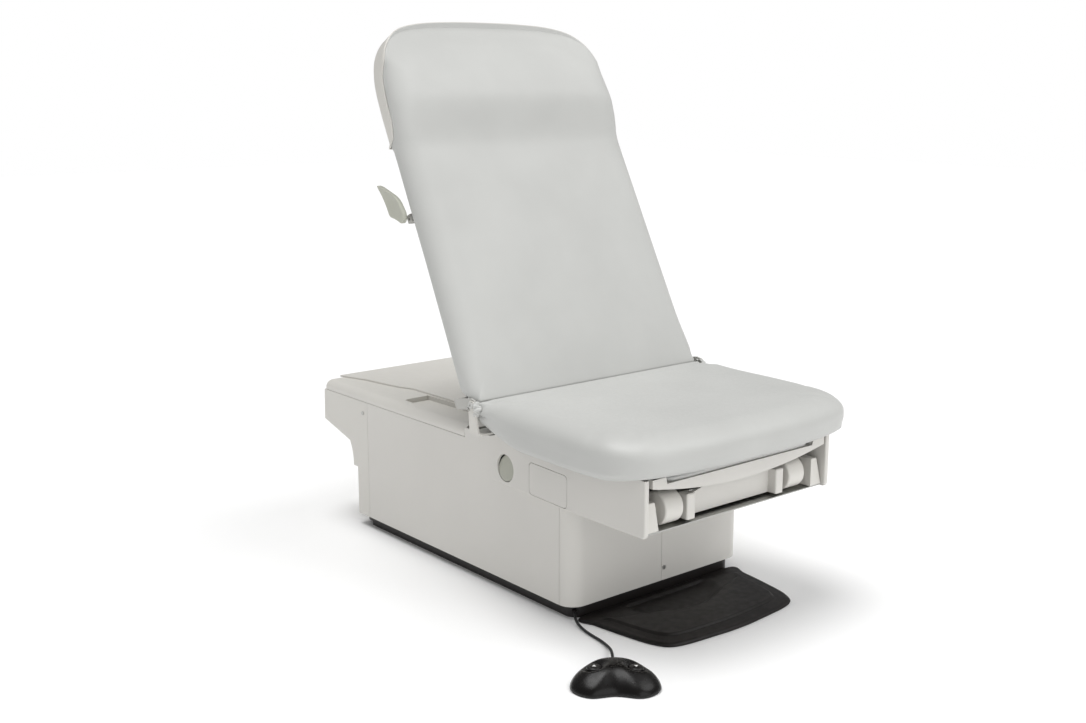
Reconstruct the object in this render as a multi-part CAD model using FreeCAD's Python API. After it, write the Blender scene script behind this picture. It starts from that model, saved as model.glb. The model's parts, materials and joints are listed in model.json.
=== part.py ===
import FreeCAD, Part
import math
import os
from FreeCAD import Vector as V

# Powered medical exam table, in millimetres. +Z is up, +Y points to the head end, +X is the
# table's left when facing the foot end. The origin is on the floor, on the centre plane,
# midway along the table. The lift is at its lowest and the back stands at BACK_REST.

# Overall upholstery sizes
SEAT_TOP = 457.0          # seat height with the lift down
SEAT_BOTTOM = 372.0       # underside of the seat cushion
SEAT_FRONT = -650.0
SEAT_HALF = 357.0         # half width at the front of the seat
SEAT_HALF_REAR = 345.0    # half width at the crease
SEAT_BOARD_HALF = SEAT_HALF - 32.0
BOARD_THICK = 12.0
HINGE_Y = -130.0          # crease between seat and back, which is the recline axis
HINGE_Z = 446.0
BACK_LENGTH = 908.0       # from the hinge axis to the top of the headrest
BACK_HALF = 333.0
BACK_FOOT_HALF = 341.0    # half width at the crease
BACK_REST = 63.0          # back angle above horizontal, degrees
BACK_MAX = 80.0           # steepest back angle, degrees
HEAD_SHELL_START = 616.0  # where the moulded head shell takes over behind the cushion

# Moving enclosure
SHELL_HALF = 262.5
SHELL_FRONT = -355.0
SHELL_REAR = 492.0
SHELL_BOTTOM = 30.0
SHELL_CORNER = 38.0
WALL = 4.0
COVER_GAP = 1.0           # joint line between neighbouring covers
COVER_SEAM_Y = 431.0      # side cover to rear cover
DECK_SEAM_Z = 330.0       # side cover to deck cover
DECK_TOP = 357.0
DECK_FRONT = 15.0
TROUGH_FLOOR = 346.0      # bottom of the deck's troughs for the back frame's tubes
TROUGH_INNER = 152.0
TROUGH_OUTER = 232.0
TROUGH_END = 309.0
WING_REAR = 639.0
WING_BOTTOM = 250.0
SIDE_TOP = 352.0          # upper edge of the side cover behind the flare
BAY_HALF = 278.0
BAY_FRONT = -590.0
BAY_BOTTOM = 253.0
BAY_PLATE = 12.0
BAY_FLOOR_TOP = BAY_BOTTOM + 3.0
FLARE_START = -78.0       # where the side cover begins to widen towards the bay

FLAP_Y = -138.0           # round finger flap in the left side cover
FLAP_Z = 292.0
FLAP_R = 30.0
FLAP_LEAN = 12.0          # degrees the flap leans in at its top
OUTLET = (-358.0, -227.0, 257.0, 327.0)  # blank outlet cover: y from, y to, z from, z to

# Back hinge and boards
BRACKET_X = 347.0         # inner face of a hinge bracket
BRACKET_THICK = 4.0
BRACKET_Z = SEAT_BOTTOM + BOARD_THICK
HINGE_PIN_R = 5.0
BOARD = (-300.0, 300.0, 22.0, 598.0)     # back board: x from, x to, up the back from, to

# Lift
ARM_LENGTH = 740.0
PIVOT_Y = 420.0
PIVOT_Z = 55.0
FOLDED_RISE = 150.0       # height of the upper pivot over the lower one, folded
ARM_DEPTH = 40.0
ARM_THICK = 8.0
OUTER_ARM_X = 200.0       # inner face of an outer arm
INNER_ARM_X = 186.0       # inner face of an inner arm
TIE_SHARE = 0.25          # place of the outer arms' tie bar along their length
ROLLER_R = 18.0
ROLLER_X = 212.0
ROLLER_WIDTH = 14.0
TRACK_WALL = 3.0
END_CLEAR = 0.86          # roller to the end of its track
TRACK_REAR = 85.0
ROLL_CLEAR = 0.3
PIN_R = 10.0
RUN_CLEAR = 0.05          # radial clearance of a running shaft
ROD_R = 14.0
ACTUATOR_FRONT = 62.0
ACTUATOR_REAR = 445.0

# Base
SKIRT_HALF = 243.0
SKIRT_TOP = 28.0
SHROUD_WALL = 2.5
SHROUD_STEP = 6.75        # each telescoping shroud stands this far outside the one within it
SHROUD_HALF = 238.0       # fixed shroud
SHROUD_TOP = 250.0
SHROUD_FRONT = -335.0
SHROUD_REAR = 474.0
SHROUD_CORNER = 14.0

# Back support
SPRING_Y = -62.0
SPRING_X = 60.0
SPRING_RISE = 1.3         # rod travel per degree of back angle
SPRING_PIN_Z = 452.0
SPRING_ROD_R = 6.0

# Foot control, in its own frame before it is turned and placed
CONTROL_X = -386.0
CONTROL_Y = -628.0
CONTROL_TURN = -39.6
CONTROL_HEIGHT = 44.0
BUTTON_TRAVEL = 3.0
BUTTON_SPOTS = {"up": -40.0, "down": 40.0}
BUTTON_R = 15.0
RELIEF_START = 62.0
RELIEF_END = 92.0

# The cord leaves the base under the enclosure's front left corner and lies on the floor
CORD_R = 3.0
GLAND_R = 6.0
CORD_ROUTE = [(-240, -342, 14), (-251, -355, 11.5), (-261, -376, 6), (-268, -404, 3.3),
              (-273, -434, 3.2), (-276, -466, 3.2), (-284.5, -496, 4.2), (-298.5, -521, 8.5),
              (-313.97, -540.93, 12), (-327.36, -557.11, 12)]

# Foot end
HUB_Y = -545.0
HUB_R = 34.5
HUB_PIN_R = 6.0
CUP_CLEAR = 2.0           # heel cup over the bay floor
PAN_TOP = 312.0

THETA = math.degrees(math.asin(FOLDED_RISE / ARM_LENGTH))
ARM_RUN = ARM_LENGTH * math.cos(math.radians(THETA))
UPPER_Z = PIVOT_Z + FOLDED_RISE
LOWER_FRONT = (PIVOT_Y - ARM_RUN, PIVOT_Z)
UPPER_FRONT = (PIVOT_Y - ARM_RUN, UPPER_Z)
LOWER_REAR = (PIVOT_Y, PIVOT_Z)
UPPER_REAR = (PIVOT_Y, UPPER_Z)
CENTRE = (PIVOT_Y - ARM_RUN / 2, (PIVOT_Z + UPPER_Z) / 2)
FRAME_LOW = UPPER_Z + ROLLER_R + ROLL_CLEAR + TRACK_WALL
FRAME_HIGH = FRAME_LOW + 22.0
TRACK_FRONT = LOWER_FRONT[0] - ROLLER_R - END_CLEAR - TRACK_WALL
HUB_Z = BAY_FLOOR_TOP + CUP_CLEAR + HUB_R


def block(x0, x1, y0, y1, z0, z1):
    """Box between two corners."""
    return Part.makeBox(x1 - x0, y1 - y0, z1 - z0, V(x0, y0, z0))


def rod(start, radius, length, direction):
    """Round bar from a start point along a direction."""
    return Part.makeCylinder(radius, length, V(*start), V(*direction))


def along_x(x0, x1, y, z, radius):
    """Round bar along X."""
    return rod((x0, y, z), radius, x1 - x0, (1, 0, 0))


def ring_x(x0, x1, y, z, outer, inner):
    """Bush along X."""
    return along_x(x0, x1, y, z, outer).cut(along_x(x0 - 1, x1 + 1, y, z, inner))


def plate(points, axis, low, high):
    """Polygon extruded along an axis. Points are (y, z), (x, z) or (x, y) for X, Y or Z."""
    across = "xyz".index(axis)
    reach = V(*[high - low if i == across else 0 for i in range(3)])
    corners = []
    for a, b in points:
        place = [a, b]
        place.insert(across, low)
        corners.append(V(*place))
    return Part.Face(Part.makePolygon(corners + corners[:1])).extrude(reach)


def rounded(shape, radius, test):
    """Fillet the straight edges whose middle passes a test."""
    chosen = [e for e in shape.Edges if test(e, e.valueAt((e.FirstParameter + e.LastParameter) / 2))]
    return shape.makeFillet(radius, chosen) if chosen else shape


def runs(edge, axis):
    """True when an edge is straight along an axis."""
    ends = [v.Point for v in edge.Vertexes]
    if len(ends) < 2:
        return False
    d = ends[1] - ends[0]
    return d.Length > 1e-6 and abs(abs(d.normalize().dot(axis)) - 1) < 1e-6


def slab(x0, x1, y0, y1, z0, z1, radius):
    """Box with rounded vertical corners."""
    return rounded(block(x0, x1, y0, y1, z0, z1), radius, lambda e, p: runs(e, V(0, 0, 1)))


def ring(half, y0, y1, wall, z0, z1, radius):
    """Rounded rectangular tube standing on end."""
    inside = slab(-half + wall, half - wall, y0 + wall, y1 - wall, z0 - 1, z1 + 1, max(radius - wall, 1.0))
    return slab(-half, half, y0, y1, z0, z1, radius).cut(inside)


def join(pieces):
    """One solid from overlapping pieces."""
    whole = pieces[0]
    for piece in pieces[1:]:
        whole = whole.fuse(piece)
    return whole.removeSplitter()


def mirrored(shape):
    """The twin on the other side of the centre plane."""
    return shape.mirror(V(0, 0, 0), V(1, 0, 0))


def both(shape):
    """A piece and its twin, as two solids."""
    return Part.makeCompound([shape, mirrored(shape)])


def on_back(shape, angle=BACK_REST):
    """Stand a shape built flat (X across, Y up the back, Z out of its front) at the back's angle."""
    placed = shape.copy()
    placed.rotate(V(0, 0, 0), V(1, 0, 0), angle)
    placed.translate(V(0, HINGE_Y, HINGE_Z))
    return placed


def save(name, shape):
    """Write one node."""
    shape.exportStep("parts/%s.step" % name)


# Base: everything that stays on the floor ---------------------------------------------------

def base_frame():
    rail = block(207, 232, -326, 465, 6, PIVOT_Z - ROLLER_R - ROLL_CLEAR - TRACK_WALL + 0.1)
    pieces = [rail, mirrored(rail)]
    for y in (-326, 60, 440):
        pieces.append(block(-220, 220, y, y + 25, 6, 28))
    for x in (OUTER_ARM_X - 12, OUTER_ARM_X + ARM_THICK + 4):
        ear = plate([(PIVOT_Y - 32, 30), (PIVOT_Y + 32, 30), (PIVOT_Y + 18, PIVOT_Z + 20),
                     (PIVOT_Y - 18, PIVOT_Z + 20)], "x", x, x + 8)
        pieces += [ear, mirrored(ear)]
        foot = block(x, 220, PIVOT_Y - 32, PIVOT_Y + 32, 26, 32)
        pieces += [foot, mirrored(foot)]
    guide = track(PIVOT_Z, TRACK_FRONT, TRACK_REAR)
    frame = join(pieces + [guide, mirrored(guide)])
    return frame.cut(along_x(-260, 260, PIVOT_Y, PIVOT_Z, PIN_R + RUN_CLEAR))


def track(z, y0, y1):
    """Channel that holds a roller, open towards the centre plane."""
    half = ROLLER_R + ROLL_CLEAR
    web = ROLLER_X + ROLLER_WIDTH + 3
    outer = block(ROLLER_X - 2, web + TRACK_WALL, y0, y1, z - half - TRACK_WALL, z + half + TRACK_WALL)
    hollow = block(ROLLER_X - 3, web, y0 + TRACK_WALL, y1 - TRACK_WALL, z - half, z + half)
    return outer.cut(hollow)


def skirt():
    """Black skirt round the base, raised off the floor at its rear."""
    body = ring(SKIRT_HALF, -345, 488, 3, 0, SKIRT_TOP, 30)
    body = body.cut(block(-300, 300, 450, 500, -1, 10)).cut(gland_bar(GLAND_R + 0.2, 20))
    return body.cut(block(-92, -62, 480, 495, 12, 27))


def feet():
    spots = [(x, y) for x in (-225, 225) for y in (-317, 430)]
    solids = []
    for x, y in spots:
        solids.append(rod((x, y, 0), 11, 4, (0, 0, 1)).fuse(rod((x, y, 3), 5, 3, (0, 0, 1))))
    return Part.makeCompound(solids)


def step_cover():
    """Moulded black cover on the floor in front of the base, with a shallow dish in its top."""
    outline = [(-237, -350), (-222, -470), (-205, -545), (-165, -585), (-60, -600),
               (60, -600), (165, -585), (205, -545), (222, -470), (237, -350)]
    body = plate(outline, "z", 0, 14)
    body = rounded(body, 5, lambda e, p: abs(p.z - 14) < 0.1 and p.y < -352)
    dish = plate([(-150, -352), (-110, -500), (110, -500), (150, -352)], "z", 9, 20)
    return body.cut(dish)


def foot_control():
    """Kidney-shaped housing in its own frame: origin on the floor, +Y to the cord."""
    edge = [V(-84, -30, 0), V(-80, 12, 0), V(-44, 58, 0), V(0, 70, 0), V(44, 58, 0), V(80, 12, 0),
            V(84, -30, 0), V(50, -58, 0), V(0, -50, 0), V(-50, -58, 0)]
    curve = Part.BSplineCurve()
    curve.interpolate(edge, PeriodicFlag=True)
    return Part.Face(Part.Wire([curve.toShape()]))


def to_control(shape):
    """Move a shape from the foot control's own frame to its place beside the table."""
    placed = shape.copy()
    placed.rotate(V(0, 0, 0), V(0, 0, 1), CONTROL_TURN)
    placed.translate(V(CONTROL_X, CONTROL_Y, 0))
    return placed


def control_housing():
    base = foot_control()
    base.translate(V(0, 0, 4))
    top = foot_control()
    m = FreeCAD.Matrix()
    m.scale(0.60, 0.60, 1)
    top = top.transformGeometry(m)
    top.translate(V(0, 2, CONTROL_HEIGHT))
    middle = foot_control()
    n = FreeCAD.Matrix()
    n.scale(0.93, 0.93, 1)
    middle = middle.transformGeometry(n)
    middle.translate(V(0, 1, 24))
    body = Part.makeLoft([f.Wires[0] for f in (base, middle, top)], True, False)
    for x in BUTTON_SPOTS.values():
        body = body.cut(rod((x, 8, 22), BUTTON_R + 0.5, 40, (0, 0, 1)))
    body = body.cut(rod((0, 40, 12), 5, 60, (0, 1, 0)))
    return to_control(body)


def control_pad():
    pad = foot_control().extrude(V(0, 0, 4))
    m = FreeCAD.Matrix()
    m.scale(0.97, 0.97, 1)
    return to_control(pad.transformGeometry(m))


def control_button(x):
    stem = rod((x, 8, 22 + BUTTON_TRAVEL + 0.5), BUTTON_R, CONTROL_HEIGHT + 4 - 25.5, (0, 0, 1))
    stem = rounded(stem, 2, lambda e, p: abs(p.z - CONTROL_HEIGHT - 4) < 0.1)
    return to_control(stem)


def cord():
    """Round cord along straight runs joined by tangent arcs."""
    points = [V(*p) for p in CORD_ROUTE]
    edges, start = [], points[0]
    for before, corner, after in zip(points, points[1:], points[2:]):
        back, ahead = (before - corner), (after - corner)
        shorter = min(back.Length, ahead.Length)
        back.normalize()
        ahead.normalize()
        half = (math.pi - back.getAngle(ahead)) / 2
        reach = 0.45 * shorter
        radius = reach / math.tan(half)
        print("cord arc radius %.0f" % radius)
        first, last = corner + back * reach, corner + ahead * reach
        bisector = (back + ahead).normalize()
        middle = corner + bisector * (radius / math.cos(half) - radius)
        edges += [Part.LineSegment(start, first).toShape(), Part.Arc(first, middle, last).toShape()]
        start = last
    edges.append(Part.LineSegment(start, points[-1]).toShape())
    path = Part.Wire(edges)
    circle = Part.Wire([Part.Circle(points[0], points[1] - points[0], CORD_R).toShape()])
    tube = path.makePipeShell([circle], True, False)
    length = sum(e.Length for e in edges)
    print("cord length %.1f, volume ratio %.3f" % (length, tube.Volume / (math.pi * CORD_R ** 2 * length)))
    return tube


def gland_bar(radius, length):
    """Round bar ending at the cord's start, in line with its first run."""
    mouth = V(*CORD_ROUTE[0])
    way = (V(*CORD_ROUTE[1]) - mouth).normalize()
    return rod(mouth - way * length, radius, length, way)


def gland():
    return gland_bar(GLAND_R, 12)


def relief():
    """Tapered strain relief between the foot control and its cord."""
    cone = Part.makeCone(4.9, CORD_R + 0.9, RELIEF_END - RELIEF_START, V(0, RELIEF_START, 12), V(0, 1, 0))
    return to_control(cone)


def shroud(stage):
    """Telescoping shroud: stage 0 is fixed to the base, 1 and 2 rise with the lift."""
    grow = stage * SHROUD_STEP
    low = SKIRT_TOP + 1 if stage == 0 else SHELL_BOTTOM + 3
    front, rear = SHROUD_FRONT - grow * 0.8, SHROUD_REAR + grow * 0.8
    return ring(SHROUD_HALF + grow, front, rear, SHROUD_WALL, low, SHROUD_TOP, SHROUD_CORNER + grow)


def actuator():
    """Gear motor and outer tube of the lift drive, pinned to the base frame."""
    tube = rod((0, ACTUATOR_FRONT, PIVOT_Z), 24, ACTUATOR_REAR - ACTUATOR_FRONT, (0, 1, 0))
    motor = rod((0, 300, PIVOT_Z + 62), 34, 110, (0, 1, 0))
    gears = block(-38, 38, 395, ACTUATOR_REAR + 5, PIVOT_Z - 20, PIVOT_Z + 100)
    saddles = [block(-20, 20, y, y + 25, 28, PIVOT_Z - 10) for y in (60, 440)]
    body = join([tube, motor, gears] + saddles)
    depth = ACTUATOR_REAR - ACTUATOR_FRONT + 5
    return body.cut(rod((0, ACTUATOR_FRONT - 10, PIVOT_Z), ROD_R + RUN_CLEAR, depth, (0, 1, 0)))


def actuator_rod():
    """Pushing tube of the lift drive with the eye that turns on the lower cross shaft."""
    lower_y = PIVOT_Y - ARM_RUN
    bar = rod((0, lower_y + 12, PIVOT_Z), ROD_R, ACTUATOR_FRONT + 20 - lower_y - 12, (0, 1, 0))
    eye = along_x(-16, 16, lower_y, PIVOT_Z, PIN_R + 8)
    return join([bar, eye]).cut(along_x(-30, 30, lower_y, PIVOT_Z, PIN_R + RUN_CLEAR))


def power_supply():
    return slab(-150, -60, 240, 440, 28, 70, 4)


def power_inlet():
    """Mains inlet on the base's rear wall."""
    body = block(-92, -62, 480, 488, 12, 27)
    return body.cut(block(-87, -67, 484, 495, 15, 24))


# Scissor lift ------------------------------------------------------------------------------

def arm_bar(x, start, end):
    """Flat bar with round ends between two (y, z) points."""
    dy, dz = end[0] - start[0], end[1] - start[1]
    length = math.hypot(dy, dz)
    bar = block(x, x + ARM_THICK, 0, length, -ARM_DEPTH / 2, ARM_DEPTH / 2)
    bar = join([bar, along_x(x, x + ARM_THICK, 0, 0, ARM_DEPTH / 2),
                along_x(x, x + ARM_THICK, length, 0, ARM_DEPTH / 2)])
    bar.rotate(V(0, 0, 0), V(1, 0, 0), math.degrees(math.atan2(dz, dy)))
    bar.translate(V(0, start[0], start[1]))
    return bar


def cross_shaft(place, half):
    return along_x(-half, half, place[0], place[1], PIN_R)


def outer_arms():
    """Welded pair of outer bars: foot stubs, roller stubs, tie bar and centre pins."""
    bar = arm_bar(OUTER_ARM_X, LOWER_REAR, UPPER_FRONT)
    foot = along_x(-222, -179, LOWER_REAR[0], LOWER_REAR[1], PIN_R)
    head = along_x(-227, -OUTER_ARM_X, UPPER_FRONT[0], UPPER_FRONT[1], PIN_R)
    tie = [LOWER_REAR[i] + TIE_SHARE * (UPPER_FRONT[i] - LOWER_REAR[i]) for i in (0, 1)]
    pieces = [bar, mirrored(bar), foot, mirrored(foot), head, mirrored(head)] + centre_pins()
    return join(pieces + [cross_shaft(tie, OUTER_ARM_X + 2)])


def inner_arms():
    """Welded pair of inner bars with their two cross shafts, bored for the centre pins."""
    bar = arm_bar(INNER_ARM_X, LOWER_FRONT, UPPER_REAR)
    pair = join([bar, mirrored(bar), cross_shaft(LOWER_FRONT, 227), cross_shaft(UPPER_REAR, 212)])
    return pair.cut(along_x(-INNER_ARM_X - 20, INNER_ARM_X + 20, CENTRE[0], CENTRE[1], PIN_R + RUN_CLEAR))


def rollers(y, z):
    bush = ring_x(ROLLER_X, ROLLER_X + ROLLER_WIDTH, y, z, ROLLER_R, PIN_R + RUN_CLEAR)
    return both(bush)


def centre_pins():
    """Pins welded into the outer arms, on which the inner arms turn."""
    head = along_x(INNER_ARM_X + ARM_THICK + 0.5, OUTER_ARM_X, CENTRE[0], CENTRE[1], 15)
    pin = along_x(INNER_ARM_X - 3, OUTER_ARM_X + ARM_THICK, CENTRE[0], CENTRE[1], PIN_R)
    pin = join([head, pin])
    return [pin, mirrored(pin)]


# Upper structure ---------------------------------------------------------------------------

def upper_frame():
    rail = block(206, 232, -328, 466, FRAME_LOW, FRAME_HIGH)
    pieces = [rail, mirrored(rail)]
    for y in (-328, 120, 441):
        pieces.append(block(-220, 220, y, y + 25, FRAME_LOW, FRAME_HIGH))
    for x in (172, 200):
        ear = plate([(PIVOT_Y - 22, UPPER_Z - 18), (PIVOT_Y + 22, UPPER_Z - 18),
                     (PIVOT_Y + 30, FRAME_LOW + 2), (PIVOT_Y - 30, FRAME_LOW + 2)], "x", x, x + 8)
        top = block(x, 215, PIVOT_Y - 30, PIVOT_Y + 30, FRAME_LOW, FRAME_LOW + 5)
        pieces += [ear, mirrored(ear), top, mirrored(top)]
    for y in (-300, -205):
        post = join([block(214, 229.5, y, y + 18, FRAME_HIGH - 1, 352),
                     block(224, 242, y, y + 18, 338, SEAT_BOTTOM)])
        pieces += [post, mirrored(post)]
    post = block(212, 230, 30, 48, FRAME_HIGH - 1, TROUGH_FLOOR - WALL)
    pieces += [post, mirrored(post)]
    pieces.append(block(-90, 90, -110, -30, 116, 120))
    for s in (-90, 86):
        pieces.append(block(s, s + 4, -110, -30, 116, FRAME_LOW + 10))
    pieces.append(block(-90, 90, -34, -30, FRAME_LOW, FRAME_HIGH))
    pieces.append(block(-220, -86, -90, -70, FRAME_LOW, FRAME_LOW + 10))
    pieces.append(block(86, 220, -90, -70, FRAME_LOW, FRAME_LOW + 10))
    guide = track(UPPER_Z, TRACK_FRONT, TRACK_REAR)
    frame = join(pieces + [guide, mirrored(guide)])
    return frame.cut(along_x(-240, 240, PIVOT_Y, UPPER_Z, PIN_R + RUN_CLEAR))


def spring_cylinders():
    """Pair of lockable gas springs standing on the upper frame."""
    solids = []
    for x in (-SPRING_X, SPRING_X):
        case = rod((x, SPRING_Y, 120), 14, 225, (0, 0, 1))
        solids.append(case.cut(rod((x, SPRING_Y, 124), SPRING_ROD_R + RUN_CLEAR, 300, (0, 0, 1))))
    return Part.makeCompound(solids)


def spring_rods():
    """Rods and the cross pin that works in the cam plates of the back."""
    pieces = [along_x(-SPRING_X - 24, SPRING_X + 24, SPRING_Y, SPRING_PIN_Z, SPRING_ROD_R)]
    for x in (-SPRING_X, SPRING_X):
        pieces.append(rod((x, SPRING_Y, 235), SPRING_ROD_R, SPRING_PIN_Z - 235, (0, 0, 1)))
        pieces.append(along_x(x - 8, x + 8, SPRING_Y, SPRING_PIN_Z, 10))
    return join(pieces)


def lower_ring(z0, z1):
    return ring(SHELL_HALF, SHELL_FRONT, SHELL_REAR, WALL, z0, z1, SHELL_CORNER)


def side_panel():
    """Left side panel, uncut: flat towards the rear, flaring outwards to the bay plate at the front."""
    wall = block(-SHELL_HALF, -SHELL_HALF + WALL, SHELL_FRONT + SHELL_CORNER, COVER_SEAM_Y,
                 SHELL_BOTTOM, SIDE_TOP)
    wall = wall.cut(block(-300, -200, DECK_FRONT, 700, DECK_SEAM_Z, 400))
    flare = plate([(-SHELL_HALF, FLARE_START), (-BAY_HALF, SHELL_FRONT - 12), (-BAY_HALF, BAY_FRONT),
                   (-BAY_HALF + BAY_PLATE, BAY_FRONT), (-BAY_HALF + BAY_PLATE, SHELL_FRONT),
                   (-SHELL_HALF + WALL, SHELL_FRONT), (-SHELL_HALF + WALL, FLARE_START)],
                  "z", BAY_BOTTOM, SEAT_BOTTOM - 1)
    slope = plate([(FLARE_START + 1, SEAT_BOTTOM), (FLARE_START + 1, SIDE_TOP),
                   (FLARE_START - 60, SEAT_BOTTOM - 1), (FLARE_START - 60, SEAT_BOTTOM)], "x", -300, -200)
    flare = flare.cut(slope)
    toe = BAY_FRONT + 8
    flare = rounded(flare, 9, lambda e, p: runs(e, V(1, 0, 0)) and p.y < toe and p.z < BAY_BOTTOM + 1)
    flare = rounded(flare, 4, lambda e, p: p.y < BAY_FRONT + 4 and not runs(e, V(1, 0, 0)))
    return join([wall, flare])


def side_cover():
    """Left side panel with the flap's hole and the outlet's window."""
    return side_panel().cut(side_hole(FLAP_R + COVER_GAP)).cut(outlet_outline(COVER_GAP))


def side_hole(radius):
    return rod((-300, FLAP_Y, FLAP_Z), radius, 100, (1, 0, 0))


def outlet_outline(grow):
    y0, y1, z0, z1 = OUTLET
    body = block(-300, -200, y0 - grow, y1 + grow, z0 - grow, z1 + grow)
    return rounded(body, 10, lambda e, p: runs(e, V(1, 0, 0)))


def outlet_cover():
    skin = plate([(-SHELL_HALF, FLARE_START), (-BAY_HALF, SHELL_FRONT - 12),
                  (-SHELL_HALF - 1, SHELL_FRONT - 12), (-SHELL_HALF - 1, FLARE_START - 30)],
                 "z", BAY_BOTTOM, SEAT_BOTTOM - 1)
    return skin.common(outlet_outline(0))


def flap_housing():
    """Cup behind the round flap."""
    outer = rod((-SHELL_HALF + WALL, FLAP_Y, FLAP_Z), FLAP_R + 6, 24, (1, 0, 0))
    return outer.cut(rod((-SHELL_HALF + WALL - 1, FLAP_Y, FLAP_Z), FLAP_R + 2, 22, (1, 0, 0)))


def side_flap():
    """Round finger flap, leaning inwards at the top about its lower hinge line."""
    disc = rod((-265.0, FLAP_Y, FLAP_Z), FLAP_R - 0.5, 3, (1, 0, 0))
    disc = rounded(disc, 1, lambda e, p: e.Length > 100 and p.x < -264)
    disc.rotate(V(-263.5, FLAP_Y, FLAP_Z - FLAP_R + 4), V(0, 1, 0), FLAP_LEAN)
    return disc


def front_cover(left):
    """Half of the front panel, wrapping round its corner to the side cover."""
    whole = lower_ring(SHELL_BOTTOM, BAY_BOTTOM - 1)
    x0, x1 = (-300, 4.5 - COVER_GAP) if left else (4.5, 300)
    return whole.common(block(x0, x1, -400, SHELL_FRONT + SHELL_CORNER - COVER_GAP, 0, 400))


def wing_profile(inset):
    """Side outline of the rear cover: upright wall, step, curved sweep and flat wing."""
    i = inset
    past = 5 if inset else 0
    start = COVER_SEAM_Y + COVER_GAP
    return [(start, SHELL_BOTTOM - past), (SHELL_REAR - i, SHELL_BOTTOM - past), (SHELL_REAR - i, 153 + i),
            (SHELL_REAR + 10 - i, 153 + i), (SHELL_REAR + 12 - i, 175), (SHELL_REAR + 17 - i, 196 + i / 2),
            (SHELL_REAR + 26, 216 + i), (WING_REAR + 3 - i, WING_BOTTOM + i),
            (WING_REAR - i, DECK_SEAM_Z + past), (start, DECK_SEAM_Z + past)]


def rear_cover():
    body = plate(wing_profile(0), "x", -SHELL_HALF, SHELL_HALF)
    body = rounded(body, 12, lambda e, p: runs(e, V(0, 0, 1)) and p.y > SHELL_REAR - 1)
    inner = plate(wing_profile(WALL), "x", -SHELL_HALF + WALL, SHELL_HALF - WALL)
    mouth = block(-SHELL_HALF + WALL, SHELL_HALF - WALL, COVER_SEAM_Y - 1, COVER_SEAM_Y + 20, 0, 400)
    return body.cut(inner).cut(mouth)


def deck_cover():
    """Rim and top of the rear deck, with a trough down each side for the back frame's tubes."""
    z0 = DECK_SEAM_Z + COVER_GAP
    body = block(-SHELL_HALF, SHELL_HALF, DECK_FRONT + COVER_GAP, WING_REAR, z0, DECK_TOP)
    body = rounded(body, 12, lambda e, p: runs(e, V(0, 0, 1)) and p.y > WING_REAR - 1)
    body = rounded(body, 20, lambda e, p: abs(p.z - DECK_TOP) < 0.1 and p.y > DECK_FRONT + 1)
    inner = block(-SHELL_HALF + WALL, SHELL_HALF - WALL, 0, WING_REAR - WALL, z0 - 1, TROUGH_FLOOR - WALL)
    middle = block(-TROUGH_INNER + WALL, TROUGH_INNER - WALL, 0, WING_REAR - WALL, z0 - 1, DECK_TOP - WALL)
    body = body.cut(inner).cut(middle)
    trough = plate([(-TROUGH_OUTER, 0), (-TROUGH_OUTER, TROUGH_END - 6), (-TROUGH_OUTER + 12, TROUGH_END),
                    (-TROUGH_INNER - 8, TROUGH_END), (-TROUGH_INNER, 0)], "z", TROUGH_FLOOR, DECK_TOP + 5)
    return body.cut(trough).cut(mirrored(trough))


def deck_panel():
    """Raised centre panel of the rear deck."""
    half = [(218, WING_REAR - 7), (192, 551), (180, 474), (172, COVER_SEAM_Y), (155, 380),
            (154, TROUGH_END + 0.5), (152, DECK_FRONT + 2)]
    outline = half + [(-x, y) for x, y in reversed(half)]
    panel = plate(outline, "z", DECK_TOP, DECK_TOP + 5)
    return rounded(panel, 2, lambda e, p: abs(p.z - DECK_TOP - 5) < 0.1)


def bay_floor():
    """Sheet floor of the front bay, with the folded runners that carry the pan."""
    low, high = BAY_FLOOR_TOP - 2, BAY_FLOOR_TOP
    bay, lower = BAY_HALF - BAY_PLATE, SHELL_HALF - WALL - 0.5
    floor = block(-bay, bay, BAY_FRONT + 15, SHELL_FRONT - 0.5, low, high)
    rear = block(-lower, lower, SHELL_FRONT - 0.5, -336, low, high)
    web = block(130, 133, -530, -340, BAY_FLOOR_TOP - 1, PAN_TOP - 2.2)
    flange = block(121, 133, -530, -340, PAN_TOP - 5.2, PAN_TOP - 2.2)
    return join([floor, rear, web, flange, mirrored(web), mirrored(flange)])


def board_slab(z0, z1):
    """Plan of the seat board, which stays inside the cushion's rounded front corners."""
    side = [(SEAT_BOARD_HALF, -150), (SEAT_BOARD_HALF, SEAT_FRONT + 115),
            (SEAT_BOARD_HALF - 33, SEAT_FRONT + 62), (SEAT_BOARD_HALF - 83, SEAT_FRONT + 35)]
    return plate(side + [(-x, y) for x, y in reversed(side)], "z", z0, z1)


def seat_board():
    return board_slab(SEAT_BOTTOM, SEAT_BOTTOM + BOARD_THICK)


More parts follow.
